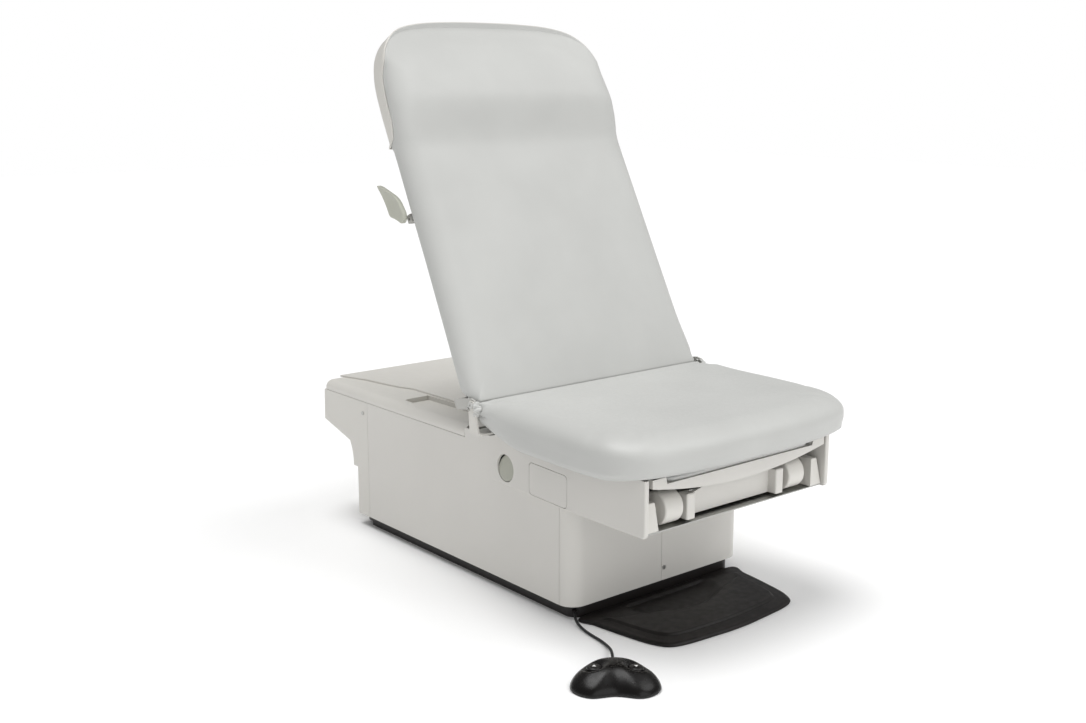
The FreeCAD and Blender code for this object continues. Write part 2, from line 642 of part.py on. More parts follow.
def seat_cushion():
    """Closed shape of the seat cushion, its underside rising to the crease."""
    side = [(SEAT_HALF_REAR - 5, HINGE_Y - 3), (SEAT_HALF_REAR - 4, HINGE_Y - 15),
            (SEAT_HALF_REAR, HINGE_Y - 24), (SEAT_HALF - 4, -330), (SEAT_HALF, -455),
            (SEAT_HALF - 3, -510), (SEAT_HALF - 17, -560),
            (SEAT_HALF - 57, -607), (SEAT_HALF - 107, -632), (120, SEAT_FRONT + 3)]
    outline = [(-x, y) for x, y in side] + side[::-1]
    profile = [(SEAT_FRONT, SEAT_BOTTOM + 13), (-600, SEAT_BOTTOM + 6), (-500, SEAT_BOTTOM),
               (-260, SEAT_BOTTOM),
               (-212, SEAT_BOTTOM + 8), (-160, SEAT_BOTTOM + 21), (HINGE_Y - 3, SEAT_BOTTOM + 28),
               (HINGE_Y - 3, HINGE_Z - 4), (-150, SEAT_TOP - 6), (-200, SEAT_TOP), (-560, SEAT_TOP),
               (-625, SEAT_TOP - 9), (SEAT_FRONT, SEAT_TOP - 32)]
    body = plate(outline, "z", SEAT_BOTTOM - 10, SEAT_TOP + 10).common(plate(profile, "x", -400, 400))
    return body.cut(board_slab(SEAT_BOTTOM - 12, SEAT_BOTTOM + BOARD_THICK))


def hinge_bracket():
    """Upright ear beside the cushion's corner, on a foot that runs in under the seat board."""
    outer = -BRACKET_X - BRACKET_THICK
    ear = plate([(HINGE_Y - 26, BRACKET_Z), (HINGE_Y + 6, BRACKET_Z), (HINGE_Y + 10, HINGE_Z - 5),
                 (HINGE_Y + 7, HINGE_Z + 8), (HINGE_Y - 7, HINGE_Z + 8), (HINGE_Y - 11, HINGE_Z - 5)],
                "x", outer, -BRACKET_X)
    ear = ear.cut(along_x(outer - 9, -BRACKET_X + 7, HINGE_Y, HINGE_Z, HINGE_PIN_R))
    foot = block(outer, -290, HINGE_Y - 35, HINGE_Y + 6, BRACKET_Z, BRACKET_Z + BRACKET_THICK)
    return join([ear, foot])


def hinge_pin():
    outer = -BRACKET_X - BRACKET_THICK
    pin = along_x(outer, -BRACKET_X + 5, HINGE_Y, HINGE_Z, HINGE_PIN_R)
    head = along_x(outer - 2.5, outer, HINGE_Y, HINGE_Z, HINGE_PIN_R + 3)
    return join([pin, head])


# Foot end: stirrups, foot extension and treatment pan ----------------------------------------

def stirrup_guide():
    body = block(-257.5, -230.5, -515, -200, 287, 314)
    return body.cut(block(-254.3, -233.7, -570, -190, 290.2, 310.8))


def stirrup_arm():
    return block(-254, -234, -520, -205, 290.5, 310.5)


def stirrup_head():
    """Tapered block on the end of a stirrup arm, carrying the heel cup's pivot."""
    rear = -520
    rings = []
    for z, outer, inner, front in ((258, -265, -230, -580), (318, -254, -237, -574)):
        corners = [V(outer, front, z), V(inner, front, z), V(inner, rear, z), V(outer, rear, z)]
        rings.append(Part.makePolygon(corners + corners[:1]))
    body = Part.makeLoft(rings, True, True)
    body = rounded(body, 2.5, lambda e, p: p.z > 317 or p.y < -577)
    pin = along_x(-240, -156, HUB_Y, HUB_Z, HUB_PIN_R)
    return join([body, pin])


def heel_cup():
    """Half-round hollow cup that turns on the stirrup's pivot."""
    outer = along_x(-210, -160, HUB_Y, HUB_Z, HUB_R)
    outer = rounded(outer, 4, lambda e, p: e.Length > 150)
    hollow = along_x(-204, -166, HUB_Y, HUB_Z, HUB_R - 4)
    hub = along_x(-210, -160, HUB_Y, HUB_Z, HUB_PIN_R + 5)
    mouth = block(-204, -166, HUB_Y + 2, HUB_Y + 60, HUB_Z - 30, HUB_Z + 30)
    cup = outer.cut(hollow).cut(mouth)
    cup = join([cup, hub])
    return cup.cut(along_x(-220, -150, HUB_Y, HUB_Z, HUB_PIN_R + RUN_CLEAR))


def extension_guide():
    """Fixed channel of the foot extension, bolted to the inside of the seat posts."""
    body = block(-214, -198, -560, -165, 334, 352)
    body = body.cut(block(-210, -197, -570, -155, 337, 349))
    return body.cut(block(-205, -197, -570, -155, 348, 353))


def extension_slides():
    rail = join([block(-204.7, -198, -560, -170, 337.3, 354), block(-209.7, -198, -560, -170, 337.3, 348.7)])
    return [rail, mirrored(rail)]


def extension_tray():
    """Sliding tray with its rails along both sides."""
    return join([block(-222, 222, -576, -170, 353, 356)] + extension_slides())


def extension_pad():
    pad = slab(-214, 214, -588, -175, 356.2, 369.5, 8)
    return rounded(pad, 3, lambda e, p: abs(p.z - 369.5) < 0.1)


def extension_front():
    """Handle strip of the foot extension: arched lower edge and an end cap at each side."""
    arc = Part.Arc(V(-258, -590, 352), V(0, -590, 325), V(258, -590, 352)).toShape()
    sides = Part.makePolygon([V(258, -590, 352), V(258, -590, 370), V(222, -590, 370), V(219, -590, 356),
                              V(-219, -590, 356), V(-222, -590, 370), V(-258, -590, 370), V(-258, -590, 352)])
    return Part.Face(Part.Wire([arc] + sides.Edges)).extrude(V(0, 14, 0))


def treatment_pan():
    outer = slab(-120, 120, -548, -300, PAN_TOP - 44, PAN_TOP, 12)
    inner = slab(-118, 118, -546, -302, PAN_TOP - 42, PAN_TOP + 8, 10)
    lip = slab(-128, 128, -548, -296, PAN_TOP - 2, PAN_TOP, 12).cut(inner)
    return join([outer.cut(inner), lip])


def pan_front():
    """Moulded pan front: recessed panel, a post at each end and a finger scoop at the top."""
    edge = [(-123, 262), (123, 262), (123, 324), (-20, 324), (-80, 314), (-123, 304)]
    panel = plate(edge, "y", -553, -548.2)
    posts = []
    for x in (-146, 122):
        post = rounded(block(x, x + 24, -575, -549, 262, 316), 4,
                       lambda e, p: p.z > 315 or (p.y < -574 and runs(e, V(0, 0, 1))))
        posts.append(post)
    return join([panel] + posts)


# Back -----------------------------------------------------------------------------------------

def back_outline(grow=0.0):
    """Plan of the back in its own frame, as a closed wire."""
    h, top, low = BACK_HALF + grow, BACK_LENGTH + grow, BACK_FOOT_HALF + grow
    a = V(h, BACK_LENGTH - 138, 0)
    b = V(h * 0.71 - 8, top - 18, 0)
    bend = V(h - 32, top - 50, 0)
    side = [V(low, 4, 0), V(low, 82, 0), V(BACK_HALF + 3 + grow, 300, 0), a]
    right = [Part.makePolygon(side), Part.Arc(a, bend, b).toShape()]
    crown = Part.Arc(b, V(0, top, 0), V(-b.x, b.y, 0)).toShape()
    left = [Part.Arc(V(-b.x, b.y, 0), V(-bend.x, bend.y, 0), V(-a.x, a.y, 0)).toShape(),
            Part.makePolygon([V(-p.x, p.y, 0) for p in reversed(side)])]
    foot = Part.LineSegment(V(-low, 4, 0), V(low, 4, 0)).toShape()
    edges = []
    for part in right + [crown] + left + [foot]:
        edges += part.Edges
    return Part.Wire(edges)


def back_slice(low, high, grow=0.0):
    face = Part.Face(back_outline(grow))
    face.translate(V(0, 0, low))
    return face.extrude(V(0, 0, high - low))


def back_cushion():
    lower = back_slice(-45, 4).common(block(-400, 400, 0, HEAD_SHELL_START - 2, -100, 100))
    toe = plate([(-5, -60), (30, -60), (4, -20), (4, -8), (14, 0), (26, 10), (-5, 10)], "x", -400, 400)
    lower = lower.cut(toe)
    upper = back_slice(-14, 18, -1).common(block(-400, 400, HEAD_SHELL_START - 3, 1000, -100, 100))
    well = block(BOARD[0], BOARD[1], BOARD[2], BOARD[3], -46, -34)
    return on_back(join([lower, upper]).cut(well))


def back_board():
    return on_back(block(BOARD[0], BOARD[1], BOARD[2], BOARD[3], -45, -34))


def head_shell():
    """Moulded tray behind the headrest, with an apron down the middle of the back."""
    tray = back_slice(-54, -14, 0).common(block(-400, 400, HEAD_SHELL_START, 1000, -100, 100))
    inside = back_slice(-50, 0, -4).common(block(-329, 329, HEAD_SHELL_START + 4, 1000, -100, 100))
    apron = block(-172, 172, 110, HEAD_SHELL_START + 10, -58, -54)
    for x in (-172, 168):
        apron = apron.fuse(block(x, x + 4, 110, HEAD_SHELL_START + 10, -58, -45.2))
    return on_back(join([tray.cut(inside), apron]))


def back_frame():
    """Welded frame of the back: two tubes, cross tubes, hinge ears and cam plates."""
    tube = block(183, 208, 8, 470, -70, -45)
    reach = block(183, 300, 8, 26, -62, -45)
    pieces = [tube, mirrored(tube), reach, mirrored(reach)]
    pieces.append(block(-200, 200, 78, 98, -68, -45))
    ear = plate([(-9, -7), (-3, 9), (7, 9), (14, 0), (28, -45), (28, -62), (8, -62)], "x", -346.5, -342.5)
    ear = join([ear, block(-346.5, -295, 8, 28, -62, -49)])
    pieces += [ear, mirrored(ear)]
    cam = plate([(18, -45), (98, -45), (98, -60), (84, -92), (40, -92), (22, -74)], "x", 68, 76)
    pieces += [cam, mirrored(cam)]
    lug = block(205, 330, 440, 458, -62, -46)
    pieces += [lug, mirrored(lug)]
    frame = join(pieces)
    frame = frame.cut(along_x(-360, 360, 0, 0, HINGE_PIN_R + RUN_CLEAR))
    frame = frame.cut(along_x(-331, -300, 449, -54, 4)).cut(along_x(300, 331, 449, -54, 4))
    return on_back(frame.cut(cam_slot()))


def cam_slot():
    """Path of the gas spring pin over the whole recline, in the back's frame."""
    cutters, last = [], None
    r = SPRING_ROD_R + 0.25
    steps = 16
    for i in range(steps + 1):
        angle = BACK_MAX * i / steps
        a = math.radians(angle)
        dy = SPRING_Y - HINGE_Y
        dz = SPRING_PIN_Z + SPRING_RISE * (angle - BACK_REST) - HINGE_Z
        at = (dy * math.cos(a) + dz * math.sin(a), -dy * math.sin(a) + dz * math.cos(a))
        cutters.append(along_x(-100, 100, at[0], at[1], r))
        if last:
            step = V(0, at[0] - last[0], at[1] - last[1])
            if step.Length > 0.01:
                side = V(0, -step.z, step.y).normalize() * r
                a0, a1 = V(-100, *last), V(-100, *at)
                face = Part.Face(Part.makePolygon([a0 + side, a1 + side, a1 - side, a0 - side, a0 + side]))
                cutters.append(face.extrude(V(200, 0, 0)))
        last = at
    return join(cutters)


def release_lever():
    """Flared paddle at the left edge of the back, on a short shaft."""
    shaft = along_x(-346, -300, 449, -54, 4 - RUN_CLEAR)
    boss = along_x(-346, -332, 449, -54, 9)
    edge = [(441, -62), (446, -49), (458, -43), (508, -41), (550, -101), (521, -99), (477, -98), (458, -80)]
    paddle = plate(edge, "x", -350, -338)
    paddle = rounded(paddle, 2, lambda e, p: True)
    return on_back(join([shaft, boss, paddle]))


def cover_screws():
    solids = []
    for x, y, z, way in ((12, SHELL_FRONT, 60, (0, -1, 0)), (-SHELL_HALF, 452, 300, (-1, 0, 0)),
                         (SHELL_HALF, 452, 300, (1, 0, 0))):
        solids.append(rod((x, y, z), 5, 1.6, way))
    return Part.makeCompound(solids)


def main():
    os.makedirs("parts", exist_ok=True)
    nodes = {
        "base_frame": base_frame(),
        "base_skirt": skirt(),
        "levelling_feet": feet(),
        "lower_shroud": shroud(0),
        "middle_shroud": shroud(1),
        "upper_shroud": shroud(2),
        "lift_actuator": actuator(),
        "power_supply": power_supply(),
        "power_inlet": power_inlet(),
        "step_cover": step_cover(),
        "cord_gland": gland(),
        "foot_control_cord": cord(),
        "cord_strain_relief": relief(),
        "foot_control_housing": control_housing(),
        "foot_control_base": control_pad(),
        "actuator_rod": actuator_rod(),
        "outer_scissor_arms": outer_arms(),
        "upper_rollers": rollers(*UPPER_FRONT),
        "inner_scissor_arms": inner_arms(),
        "lower_rollers": rollers(*LOWER_FRONT),
        "upper_frame": upper_frame(),
        "gas_spring_cylinders": spring_cylinders(),
        "gas_spring_rods": spring_rods(),
        "side_cover_left": side_cover(),
        "side_cover_right": mirrored(side_panel()),
        "outlet_cover": outlet_cover(),
        "flap_housing": flap_housing(),
        "side_flap": side_flap(),
        "front_cover_left": front_cover(True),
        "front_cover_right": front_cover(False),
        "rear_cover": rear_cover(),
        "deck_cover": deck_cover(),
        "deck_panel": deck_panel(),
        "bay_floor_plate": bay_floor(),
        "seat_board": seat_board(),
        "seat_cushion": seat_cushion(),
        "hinge_brackets": both(hinge_bracket()),
        "hinge_pins": both(hinge_pin()),
        "stirrup_guides": both(stirrup_guide()),
        "stirrup_arm_left": stirrup_arm(),
        "stirrup_arm_right": mirrored(stirrup_arm()),
        "stirrup_head_left": stirrup_head(),
        "stirrup_head_right": mirrored(stirrup_head()),
        "heel_cup_left": heel_cup(),
        "heel_cup_right": mirrored(heel_cup()),
        "extension_guides": both(extension_guide()),
        "extension_tray": extension_tray(),
        "extension_pad": extension_pad(),
        "extension_front": extension_front(),
        "treatment_pan": treatment_pan(),
        "pan_front": pan_front(),
        "back_frame": back_frame(),
        "back_board": back_board(),
        "back_cushion": back_cushion(),
        "head_shell": head_shell(),
        "release_lever_left": release_lever(),
        "release_lever_right": mirrored(release_lever()),
        "cover_screws": cover_screws(),
    }
    for name, x in BUTTON_SPOTS.items():
        nodes["foot_button_" + name] = control_button(x)
    for name, shape in nodes.items():
        solids = shape.Solids
        bad = [s for s in solids if not s.isValid() or s.Volume <= 0]
        note = "  BAD" if bad or not solids else ""
        print("%-24s solids %d volume %.0f%s" % (name, len(solids), shape.Volume, note))
        save(name, shape)
    print(len(nodes), "nodes")


main()
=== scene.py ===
import json
import math

import bmesh
import bpy
import numpy as np
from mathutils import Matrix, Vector


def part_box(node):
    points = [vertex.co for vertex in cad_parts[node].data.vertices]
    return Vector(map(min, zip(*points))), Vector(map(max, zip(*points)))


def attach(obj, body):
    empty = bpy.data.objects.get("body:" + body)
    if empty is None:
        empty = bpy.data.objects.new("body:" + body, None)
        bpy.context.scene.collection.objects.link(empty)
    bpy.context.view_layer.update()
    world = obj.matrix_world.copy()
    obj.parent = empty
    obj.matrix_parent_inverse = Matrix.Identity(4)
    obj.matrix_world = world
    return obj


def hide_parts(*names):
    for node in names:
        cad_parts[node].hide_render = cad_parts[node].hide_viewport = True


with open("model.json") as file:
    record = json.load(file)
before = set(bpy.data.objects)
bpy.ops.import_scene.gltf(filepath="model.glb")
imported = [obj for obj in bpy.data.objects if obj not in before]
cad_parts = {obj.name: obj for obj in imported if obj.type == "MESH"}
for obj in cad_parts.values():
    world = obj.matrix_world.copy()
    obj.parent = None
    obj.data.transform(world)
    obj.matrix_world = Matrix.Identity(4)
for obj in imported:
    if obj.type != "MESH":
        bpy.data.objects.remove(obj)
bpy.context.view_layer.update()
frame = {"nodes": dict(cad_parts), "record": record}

bl_info = {
    "name": "Medical Exam Table",
    "version": (1, 0, 0),
    "blender": (4, 5, 0),
    "location": "View3D > Sidebar > Exam Table",
    "description": "Builds the upholstery, mouldings, finishes and studio of a medical exam table",
    "category": "Add Mesh",
}

JOINTS = {j["name"]: j for j in frame["record"]["behaviour"]["joints"]}
HINGE = np.array(JOINTS["recline"]["pos_m"])
REST = math.radians(63.0)
SEAT_LOW, SEAT_HIGH = (np.array(c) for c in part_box("seat_cushion"))
PAD_LOW, PAD_HIGH = (np.array(c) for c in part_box("extension_pad"))


# ------------------------------------------------------------
# Sizes and colours a user would change

class ExamTableSizes(bpy.types.PropertyGroup):
    seat_round: bpy.props.FloatProperty(
        name="Seat edge", description="How far the seat's top rolls over into its side",
        default=0.048, unit="LENGTH")
    back_round: bpy.props.FloatProperty(
        name="Back edge", description="How far the back's front rolls over into its side",
        default=0.050, unit="LENGTH")
    swell: bpy.props.FloatProperty(
        name="Swell", description="Furthest the filling pushes a point of a cushion's cover",
        default=0.006, unit="LENGTH")
    neck_rise: bpy.props.FloatProperty(
        name="Headrest rise", description="How far the headrest stands in front of the back",
        default=0.026, unit="LENGTH")
    shell_wall: bpy.props.FloatProperty(
        name="Shell wall", description="Wall of the moulded head shell", default=0.003, unit="LENGTH")
    step_height: bpy.props.FloatProperty(
        name="Step cover", description="Height of the moulded floor cover", default=0.014, unit="LENGTH")
    cord_diameter: bpy.props.FloatProperty(
        name="Cord", description="Diameter of the foot control's cord", default=0.006, unit="LENGTH")


class ExamTableColours(bpy.types.PropertyGroup):
    upholstery: bpy.props.FloatVectorProperty(
        name="Upholstery", description="Vinyl of the seat, back and extension pad",
        default=(0.516, 0.520, 0.503), subtype="COLOR", min=0, max=1)
    cover: bpy.props.FloatVectorProperty(
        name="Covers", description="Painted side and front covers",
        default=(0.655, 0.640, 0.605), subtype="COLOR", min=0, max=1)
    moulding: bpy.props.FloatVectorProperty(
        name="Mouldings", description="Moulded deck, head shell and small parts",
        default=(0.665, 0.650, 0.610), subtype="COLOR", min=0, max=1)
    dark: bpy.props.FloatVectorProperty(
        name="Floor parts", description="Skirt, step cover and foot control",
        default=(0.0085, 0.0068, 0.0062), subtype="COLOR", min=0, max=1)
    flap: bpy.props.FloatVectorProperty(
        name="Flap and levers", description="Grey of the round flap and the release levers",
        default=(0.47, 0.475, 0.41), subtype="COLOR", min=0, max=1)


# ------------------------------------------------------------
# Surfaces as arrays

def smooth_step(value, low, high):
    """0 below low, 1 above high, and 3t^2 - 2t^3 between them."""
    t = np.clip((value - low) / (high - low), 0, 1)
    return t * t * (3 - 2 * t)


def closed_curve(points, count):
    """Closed smooth line through a few points: on each stretch the cubic whose end slopes are half
    the step between the neighbouring points, walked at equal distances."""
    p = np.asarray(points, float)
    t = np.linspace(0, len(p), count * 8, endpoint=False)
    i = t.astype(int)
    f = (t - i)[:, None]
    a, b, c, d = (p[(i + k) % len(p)] for k in (-1, 0, 1, 2))
    bend, turn = 2 * a - 5 * b + 4 * c - d, 3 * b - a - 3 * c + d
    q = 0.5 * (2 * b + (c - a) * f + bend * f ** 2 + turn * f ** 3)
    q = np.vstack([q, q[:1]])
    run = np.concatenate([[0], np.cumsum(np.linalg.norm(np.diff(q, axis=0), axis=1))])
    want = np.linspace(0, run[-1], count, endpoint=False)
    return np.stack([np.interp(want, run, q[:, k]) for k in range(q.shape[1])], axis=1)


def round_plan(half, low, high, radius):
    """Rounded rectangle about the centre plane: a quarter circle at each corner, with straight
    runs between them."""
    inner = half - radius
    corners = []
    for x, y, start in ((inner, low + radius, -90), (inner, high - radius, 0),
                        (-inner, high - radius, 90), (-inner, low + radius, 180)):
        turn = np.radians(np.linspace(start, start + 90, 10))
        corners.append(np.column_stack([x + radius * np.cos(turn), y + radius * np.sin(turn)]))
    return np.concatenate(corners)


def outward(loop):
    """Outward unit normal at each point of a closed plan line: its tangent turned a quarter."""
    along = np.roll(loop, -1, axis=0) - np.roll(loop, 1, axis=0)
    normal = np.stack([along[:, 1], -along[:, 0]], axis=1)
    normal /= np.linalg.norm(normal, axis=1)[:, None]
    x, y = loop[:, 0], loop[:, 1]
    area = np.sum(x * np.roll(y, -1) - np.roll(x, -1) * y)
    return normal * np.sign(area)


def stand_on_back(points):
    """Turns (across, up the back, out of its front) into the row's frame: a rotation about the
    hinge line by the back's angle at rest."""
    x, s, n = points[..., 0], points[..., 1], points[..., 2]
    y = HINGE[1] + s * math.cos(REST) - n * math.sin(REST)
    z = HINGE[2] + s * math.sin(REST) + n * math.cos(REST)
    return np.stack([x, y, z], axis=-1)


def skin(name, points, wrap=True, ends=(True, True)):
    """Mesh over a grid of points: quads between neighbours, round to the start when wrap is set,
    and a fan to the mean point at each end that is closed. Faces are flipped if the signed
    volume under them is negative."""
    rows, cols = points.shape[:2]
    flat = points.reshape(-1, 3)
    r, c = np.meshgrid(np.arange(rows - 1), np.arange(cols if wrap else cols - 1), indexing="ij")
    nxt = (c + 1) % cols
    quads = np.stack([r * cols + c, r * cols + nxt, (r + 1) * cols + nxt, (r + 1) * cols + c], axis=-1)
    faces = quads.reshape(-1, 4).tolist()
    verts = [flat]
    total = len(flat)
    ring = np.arange(cols)
    for closed, row, turn in ((ends[0], 0, True), (ends[1], rows - 1, False)):
        if not closed:
            continue
        verts.append(points[row].mean(axis=0)[None, :])
        a = row * cols + ring
        b = row * cols + (ring + 1) % cols
        fan = np.stack([b, a, np.full(cols, total)] if turn else [a, b, np.full(cols, total)], axis=-1)
        faces += fan.tolist()
        total += 1
    flat = np.vstack(verts)
    q = flat[quads.reshape(-1, 4)]
    volume = np.einsum("ij,ij->i", q[:, 0], np.cross(q[:, 1] - q[:, 0], q[:, 2] - q[:, 0])).sum()
    volume += np.einsum("ij,ij->i", q[:, 0], np.cross(q[:, 2] - q[:, 0], q[:, 3] - q[:, 0])).sum()
    mesh = bpy.data.meshes.new(name)
    if volume < 0 and all(ends):
        faces = [f[::-1] for f in faces]
    mesh.from_pydata(flat.tolist(), [], faces)
    mesh.polygons.foreach_set("use_smooth", np.ones(len(mesh.polygons), dtype=bool))
    mesh.update()
    piece = bpy.data.objects.new(name, mesh)
    bpy.context.scene.collection.objects.link(piece)
    return piece


def rise_and_roll(rings, loop, centre, half):
    """Stacks copies of a plan line. Each ring is (inset, height, share): the line is drawn in by
    the inset on every side, as a stretch of x by 1 - inset / half width and y alike, then shrunk
    to the share of its size. Insets and heights may be one number or one for each point."""
    made = []
    for inset, height, share in rings:
        inset = np.broadcast_to(inset, len(loop))[:, None]
        plan = centre + (loop - centre) * (1 - inset / half) * share
        made.append(np.column_stack([plan, np.broadcast_to(height, len(loop))]))
    return np.array(made)


def finish_piece(piece, body, material, replaces=()):
    """Gives a piece its finish, puts it under the body it moves with and hides the parts it replaces."""
    piece.data.materials.append(material)
    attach(piece, body)
    if replaces:
        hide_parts(*replaces)
    return piece


def points_of(mesh):
    """Vertex places of a mesh as an array."""
    flat = np.empty(len(mesh.vertices) * 3)
    mesh.vertices.foreach_get("co", flat)
    return flat.reshape(-1, 3)


def set_points(mesh, points):
    """Moves every vertex of a mesh to its row of an array."""
    mesh.vertices.foreach_set("co", np.ascontiguousarray(points, dtype=np.float64).ravel())
    mesh.update()


def fill_cushion(piece, held, cap, frames=20):
    """Blows the cover up from inside as cloth, holding it where it is stapled to its board, and
    keeps each point within a distance of where it was cut."""
    scene = bpy.context.scene
    start = points_of(piece.data)
    group = piece.vertex_groups.new(name="stapled")
    for index in np.nonzero(held)[0].tolist():
        group.add([index], 1.0, "REPLACE")
    cloth = piece.modifiers.new("filling", "CLOTH")
    put = cloth.settings
    put.quality = 4
    put.mass = 0.4
    put.tension_stiffness = 18
    put.compression_stiffness = 18
    put.bending_stiffness = 1.5
    put.use_pressure = True
    put.uniform_pressure_force = 4.0
    put.vertex_group_mass = group.name
    put.effector_weights.gravity = 0
    cloth.collision_settings.use_collision = False
    cloth.point_cache.frame_start, cloth.point_cache.frame_end = 1, frames
    for step in range(1, frames + 1):
        scene.frame_set(step)
    seen = piece.evaluated_get(bpy.context.evaluated_depsgraph_get())
    end = points_of(seen.data)
    piece.modifiers.remove(cloth)
    piece.vertex_groups.remove(group)
    scene.frame_set(1)
    move = end - start
    far = np.linalg.norm(move, axis=1)[:, None]
    set_points(piece.data, start + move * np.minimum(1, cap / np.maximum(far, 1e-9)))


def subdivide(piece):
    """Smooths a piece by one round of subdivision."""
    sub = piece.modifiers.new("smooth", "SUBSURF")
    sub.levels = sub.render_levels = 1


# ------------------------------------------------------------
# Finishes

def new_finish(name):
    """New material; returns it with its node tree, its shader and the object's own coordinates."""
    material = bpy.data.materials.new(name)
    material.use_nodes = True
    tree = material.node_tree
    shader = tree.nodes["Principled BSDF"]
    place = tree.nodes.new("ShaderNodeTexCoord")
    return material, tree, shader, place.outputs["Object"]


def noise(tree, where, scale, detail=2.0, rough=0.5, stretch=None):
    """Noise texture on the object's own coordinates, with an optional stretch."""
    if stretch:
        mapping = tree.nodes.new("ShaderNodeMapping")
        mapping.inputs["Scale"].default_value = stretch
        tree.links.new(where, mapping.inputs["Vector"])
        where = mapping.outputs["Vector"]
    node = tree.nodes.new("ShaderNodeTexNoise")
    node.inputs["Scale"].default_value = scale
    node.inputs["Detail"].default_value = detail
    node.inputs["Roughness"].default_value = rough
    tree.links.new(where, node.inputs["Vector"])
    return node.outputs["Fac"]


def ramp(tree, fac, low, high, start=0.3, end=0.7):
    """Colour between two ends of a noise value."""
    node = tree.nodes.new("ShaderNodeValToRGB")
    node.color_ramp.elements[0].position = start
    node.color_ramp.elements[1].position = end
    node.color_ramp.elements[0].color = (*low, 1)
    node.color_ramp.elements[1].color = (*high, 1)
    tree.links.new(fac, node.inputs["Fac"])
    return node.outputs["Color"]


def spread(tree, fac, low, high):
    """Number between two ends of a noise value."""
    node = tree.nodes.new("ShaderNodeMapRange")
    node.inputs["From Min"].default_value = 0.3
    node.inputs["From Max"].default_value = 0.7
    node.inputs["To Min"].default_value = low
    node.inputs["To Max"].default_value = high
    tree.links.new(fac, node.inputs["Value"])
    return node.outputs["Result"]


def relief(tree, shader, height, distance, strength=1.0, under=None):
    """Bump from a height value, in metres of depth, optionally over another bump."""
    node = tree.nodes.new("ShaderNodeBump")
    node.inputs["Strength"].default_value = strength
    node.inputs["Distance"].default_value = distance
    tree.links.new(height, node.inputs["Height"])
    if under:
        tree.links.new(under, node.inputs["Normal"])
    tree.links.new(node.outputs["Normal"], shader.inputs["Normal"])
    return node.outputs["Normal"]


def shade(colour, by):
    """Colour made darker or lighter by a factor."""
    return tuple(min(1.0, c * by) for c in colour)


def vinyl(name, colour):
    """Satin upholstery vinyl: pebbled grain of about a millimetre, faint cloudiness, softer gloss
    where the pebbles are flattened."""
    material, tree, shader, where = new_finish(name)
    cells = tree.nodes.new("ShaderNodeTexVoronoi")
    cells.inputs["Scale"].default_value = 900
    tree.links.new(where, cells.inputs["Vector"])
    cloud = noise(tree, where, 6, 3)
    tone = ramp(tree, cloud, shade(colour, 0.965), shade(colour, 1.03))
    tree.links.new(tone, shader.inputs["Base Color"])
    tree.links.new(spread(tree, noise(tree, where, 140, 3), 0.38, 0.50), shader.inputs["Roughness"])
    shader.inputs["Sheen Weight"].default_value = 0.06
    shader.inputs["Sheen Roughness"].default_value = 0.5
    under = relief(tree, shader, noise(tree, where, 25, 2), 0.0007, 0.35)
    relief(tree, shader, cells.outputs["Distance"], 0.00025, 0.5, under)
    return material


def paint(name, colour, rough=0.40, grain=420, depth=0.00010, cloud=0.02):
    """Sprayed paint or moulded plastic: orange peel at the grain's scale, a little cloudiness in
    the colour and in the gloss."""
    material, tree, shader, where = new_finish(name)
    tone = ramp(tree, noise(tree, where, 3.5, 3), shade(colour, 1 - cloud), shade(colour, 1 + cloud))
    tree.links.new(tone, shader.inputs["Base Color"])
    gloss = spread(tree, noise(tree, where, 45, 3), rough - 0.04, rough + 0.05)
    tree.links.new(gloss, shader.inputs["Roughness"])
    relief(tree, shader, noise(tree, where, grain, 2), depth, 0.6)
    return material


def black_texture(name, colour, rough, pits, shine=0.28):
    """Black moulding with a fine spark-eroded surface, lighter where it is dusty or scuffed."""
    material, tree, shader, where = new_finish(name)
    dust = ramp(tree, noise(tree, where, 18, 5, 0.65), colour, shade(colour, 1.6), 0.5, 0.85)
    tree.links.new(dust, shader.inputs["Base Color"])
    gloss = spread(tree, noise(tree, where, 60, 4), rough - 0.05, rough + 0.07)
    tree.links.new(gloss, shader.inputs["Roughness"])
    shader.inputs["Specular IOR Level"].default_value = shine
    relief(tree, shader, noise(tree, where, pits, 3, 0.6), 0.00016, 0.6)
    return material


def brushed(name, colour, rough, along):
    """Bright metal drawn in one direction: noise stretched along the grain."""
    material, tree, shader, where = new_finish(name)
    lines = noise(tree, where, 90, 3, 0.6, along)
    tone = ramp(tree, lines, shade(colour, 0.86), shade(colour, 1.06))
    tree.links.new(tone, shader.inputs["Base Color"])
    tree.links.new(spread(tree, lines, rough - 0.07, rough + 0.08), shader.inputs["Roughness"])
    shader.inputs["Metallic"].default_value = 1.0
    relief(tree, shader, lines, 0.00004, 0.5)
    return material


def ply(name, colour):
    """Plywood: light and dark grain stretched along the sheet."""
    material, tree, shader, where = new_finish(name)
    grain = noise(tree, where, 30, 5, 0.6, (1, 0.06, 1))
    tone = ramp(tree, grain, shade(colour, 0.72), shade(colour, 1.1))
    tree.links.new(tone, shader.inputs["Base Color"])
    tree.links.new(spread(tree, grain, 0.55, 0.7), shader.inputs["Roughness"])
    relief(tree, shader, grain, 0.0002, 0.5)
    return material


def dust_cloth(name):
    """Black dust cover: matted fibres about three millimetres across, slightly fuzzy."""
    material, tree, shader, where = new_finish(name)
    weave = noise(tree, where, 330, 2, 0.6)
    tone = ramp(tree, weave, (0.016, 0.016, 0.017), (0.045, 0.045, 0.047))
    tree.links.new(tone, shader.inputs["Base Color"])
    tree.links.new(spread(tree, weave, 0.75, 0.9), shader.inputs["Roughness"])
    relief(tree, shader, weave, 0.0003, 0.8)
    return material


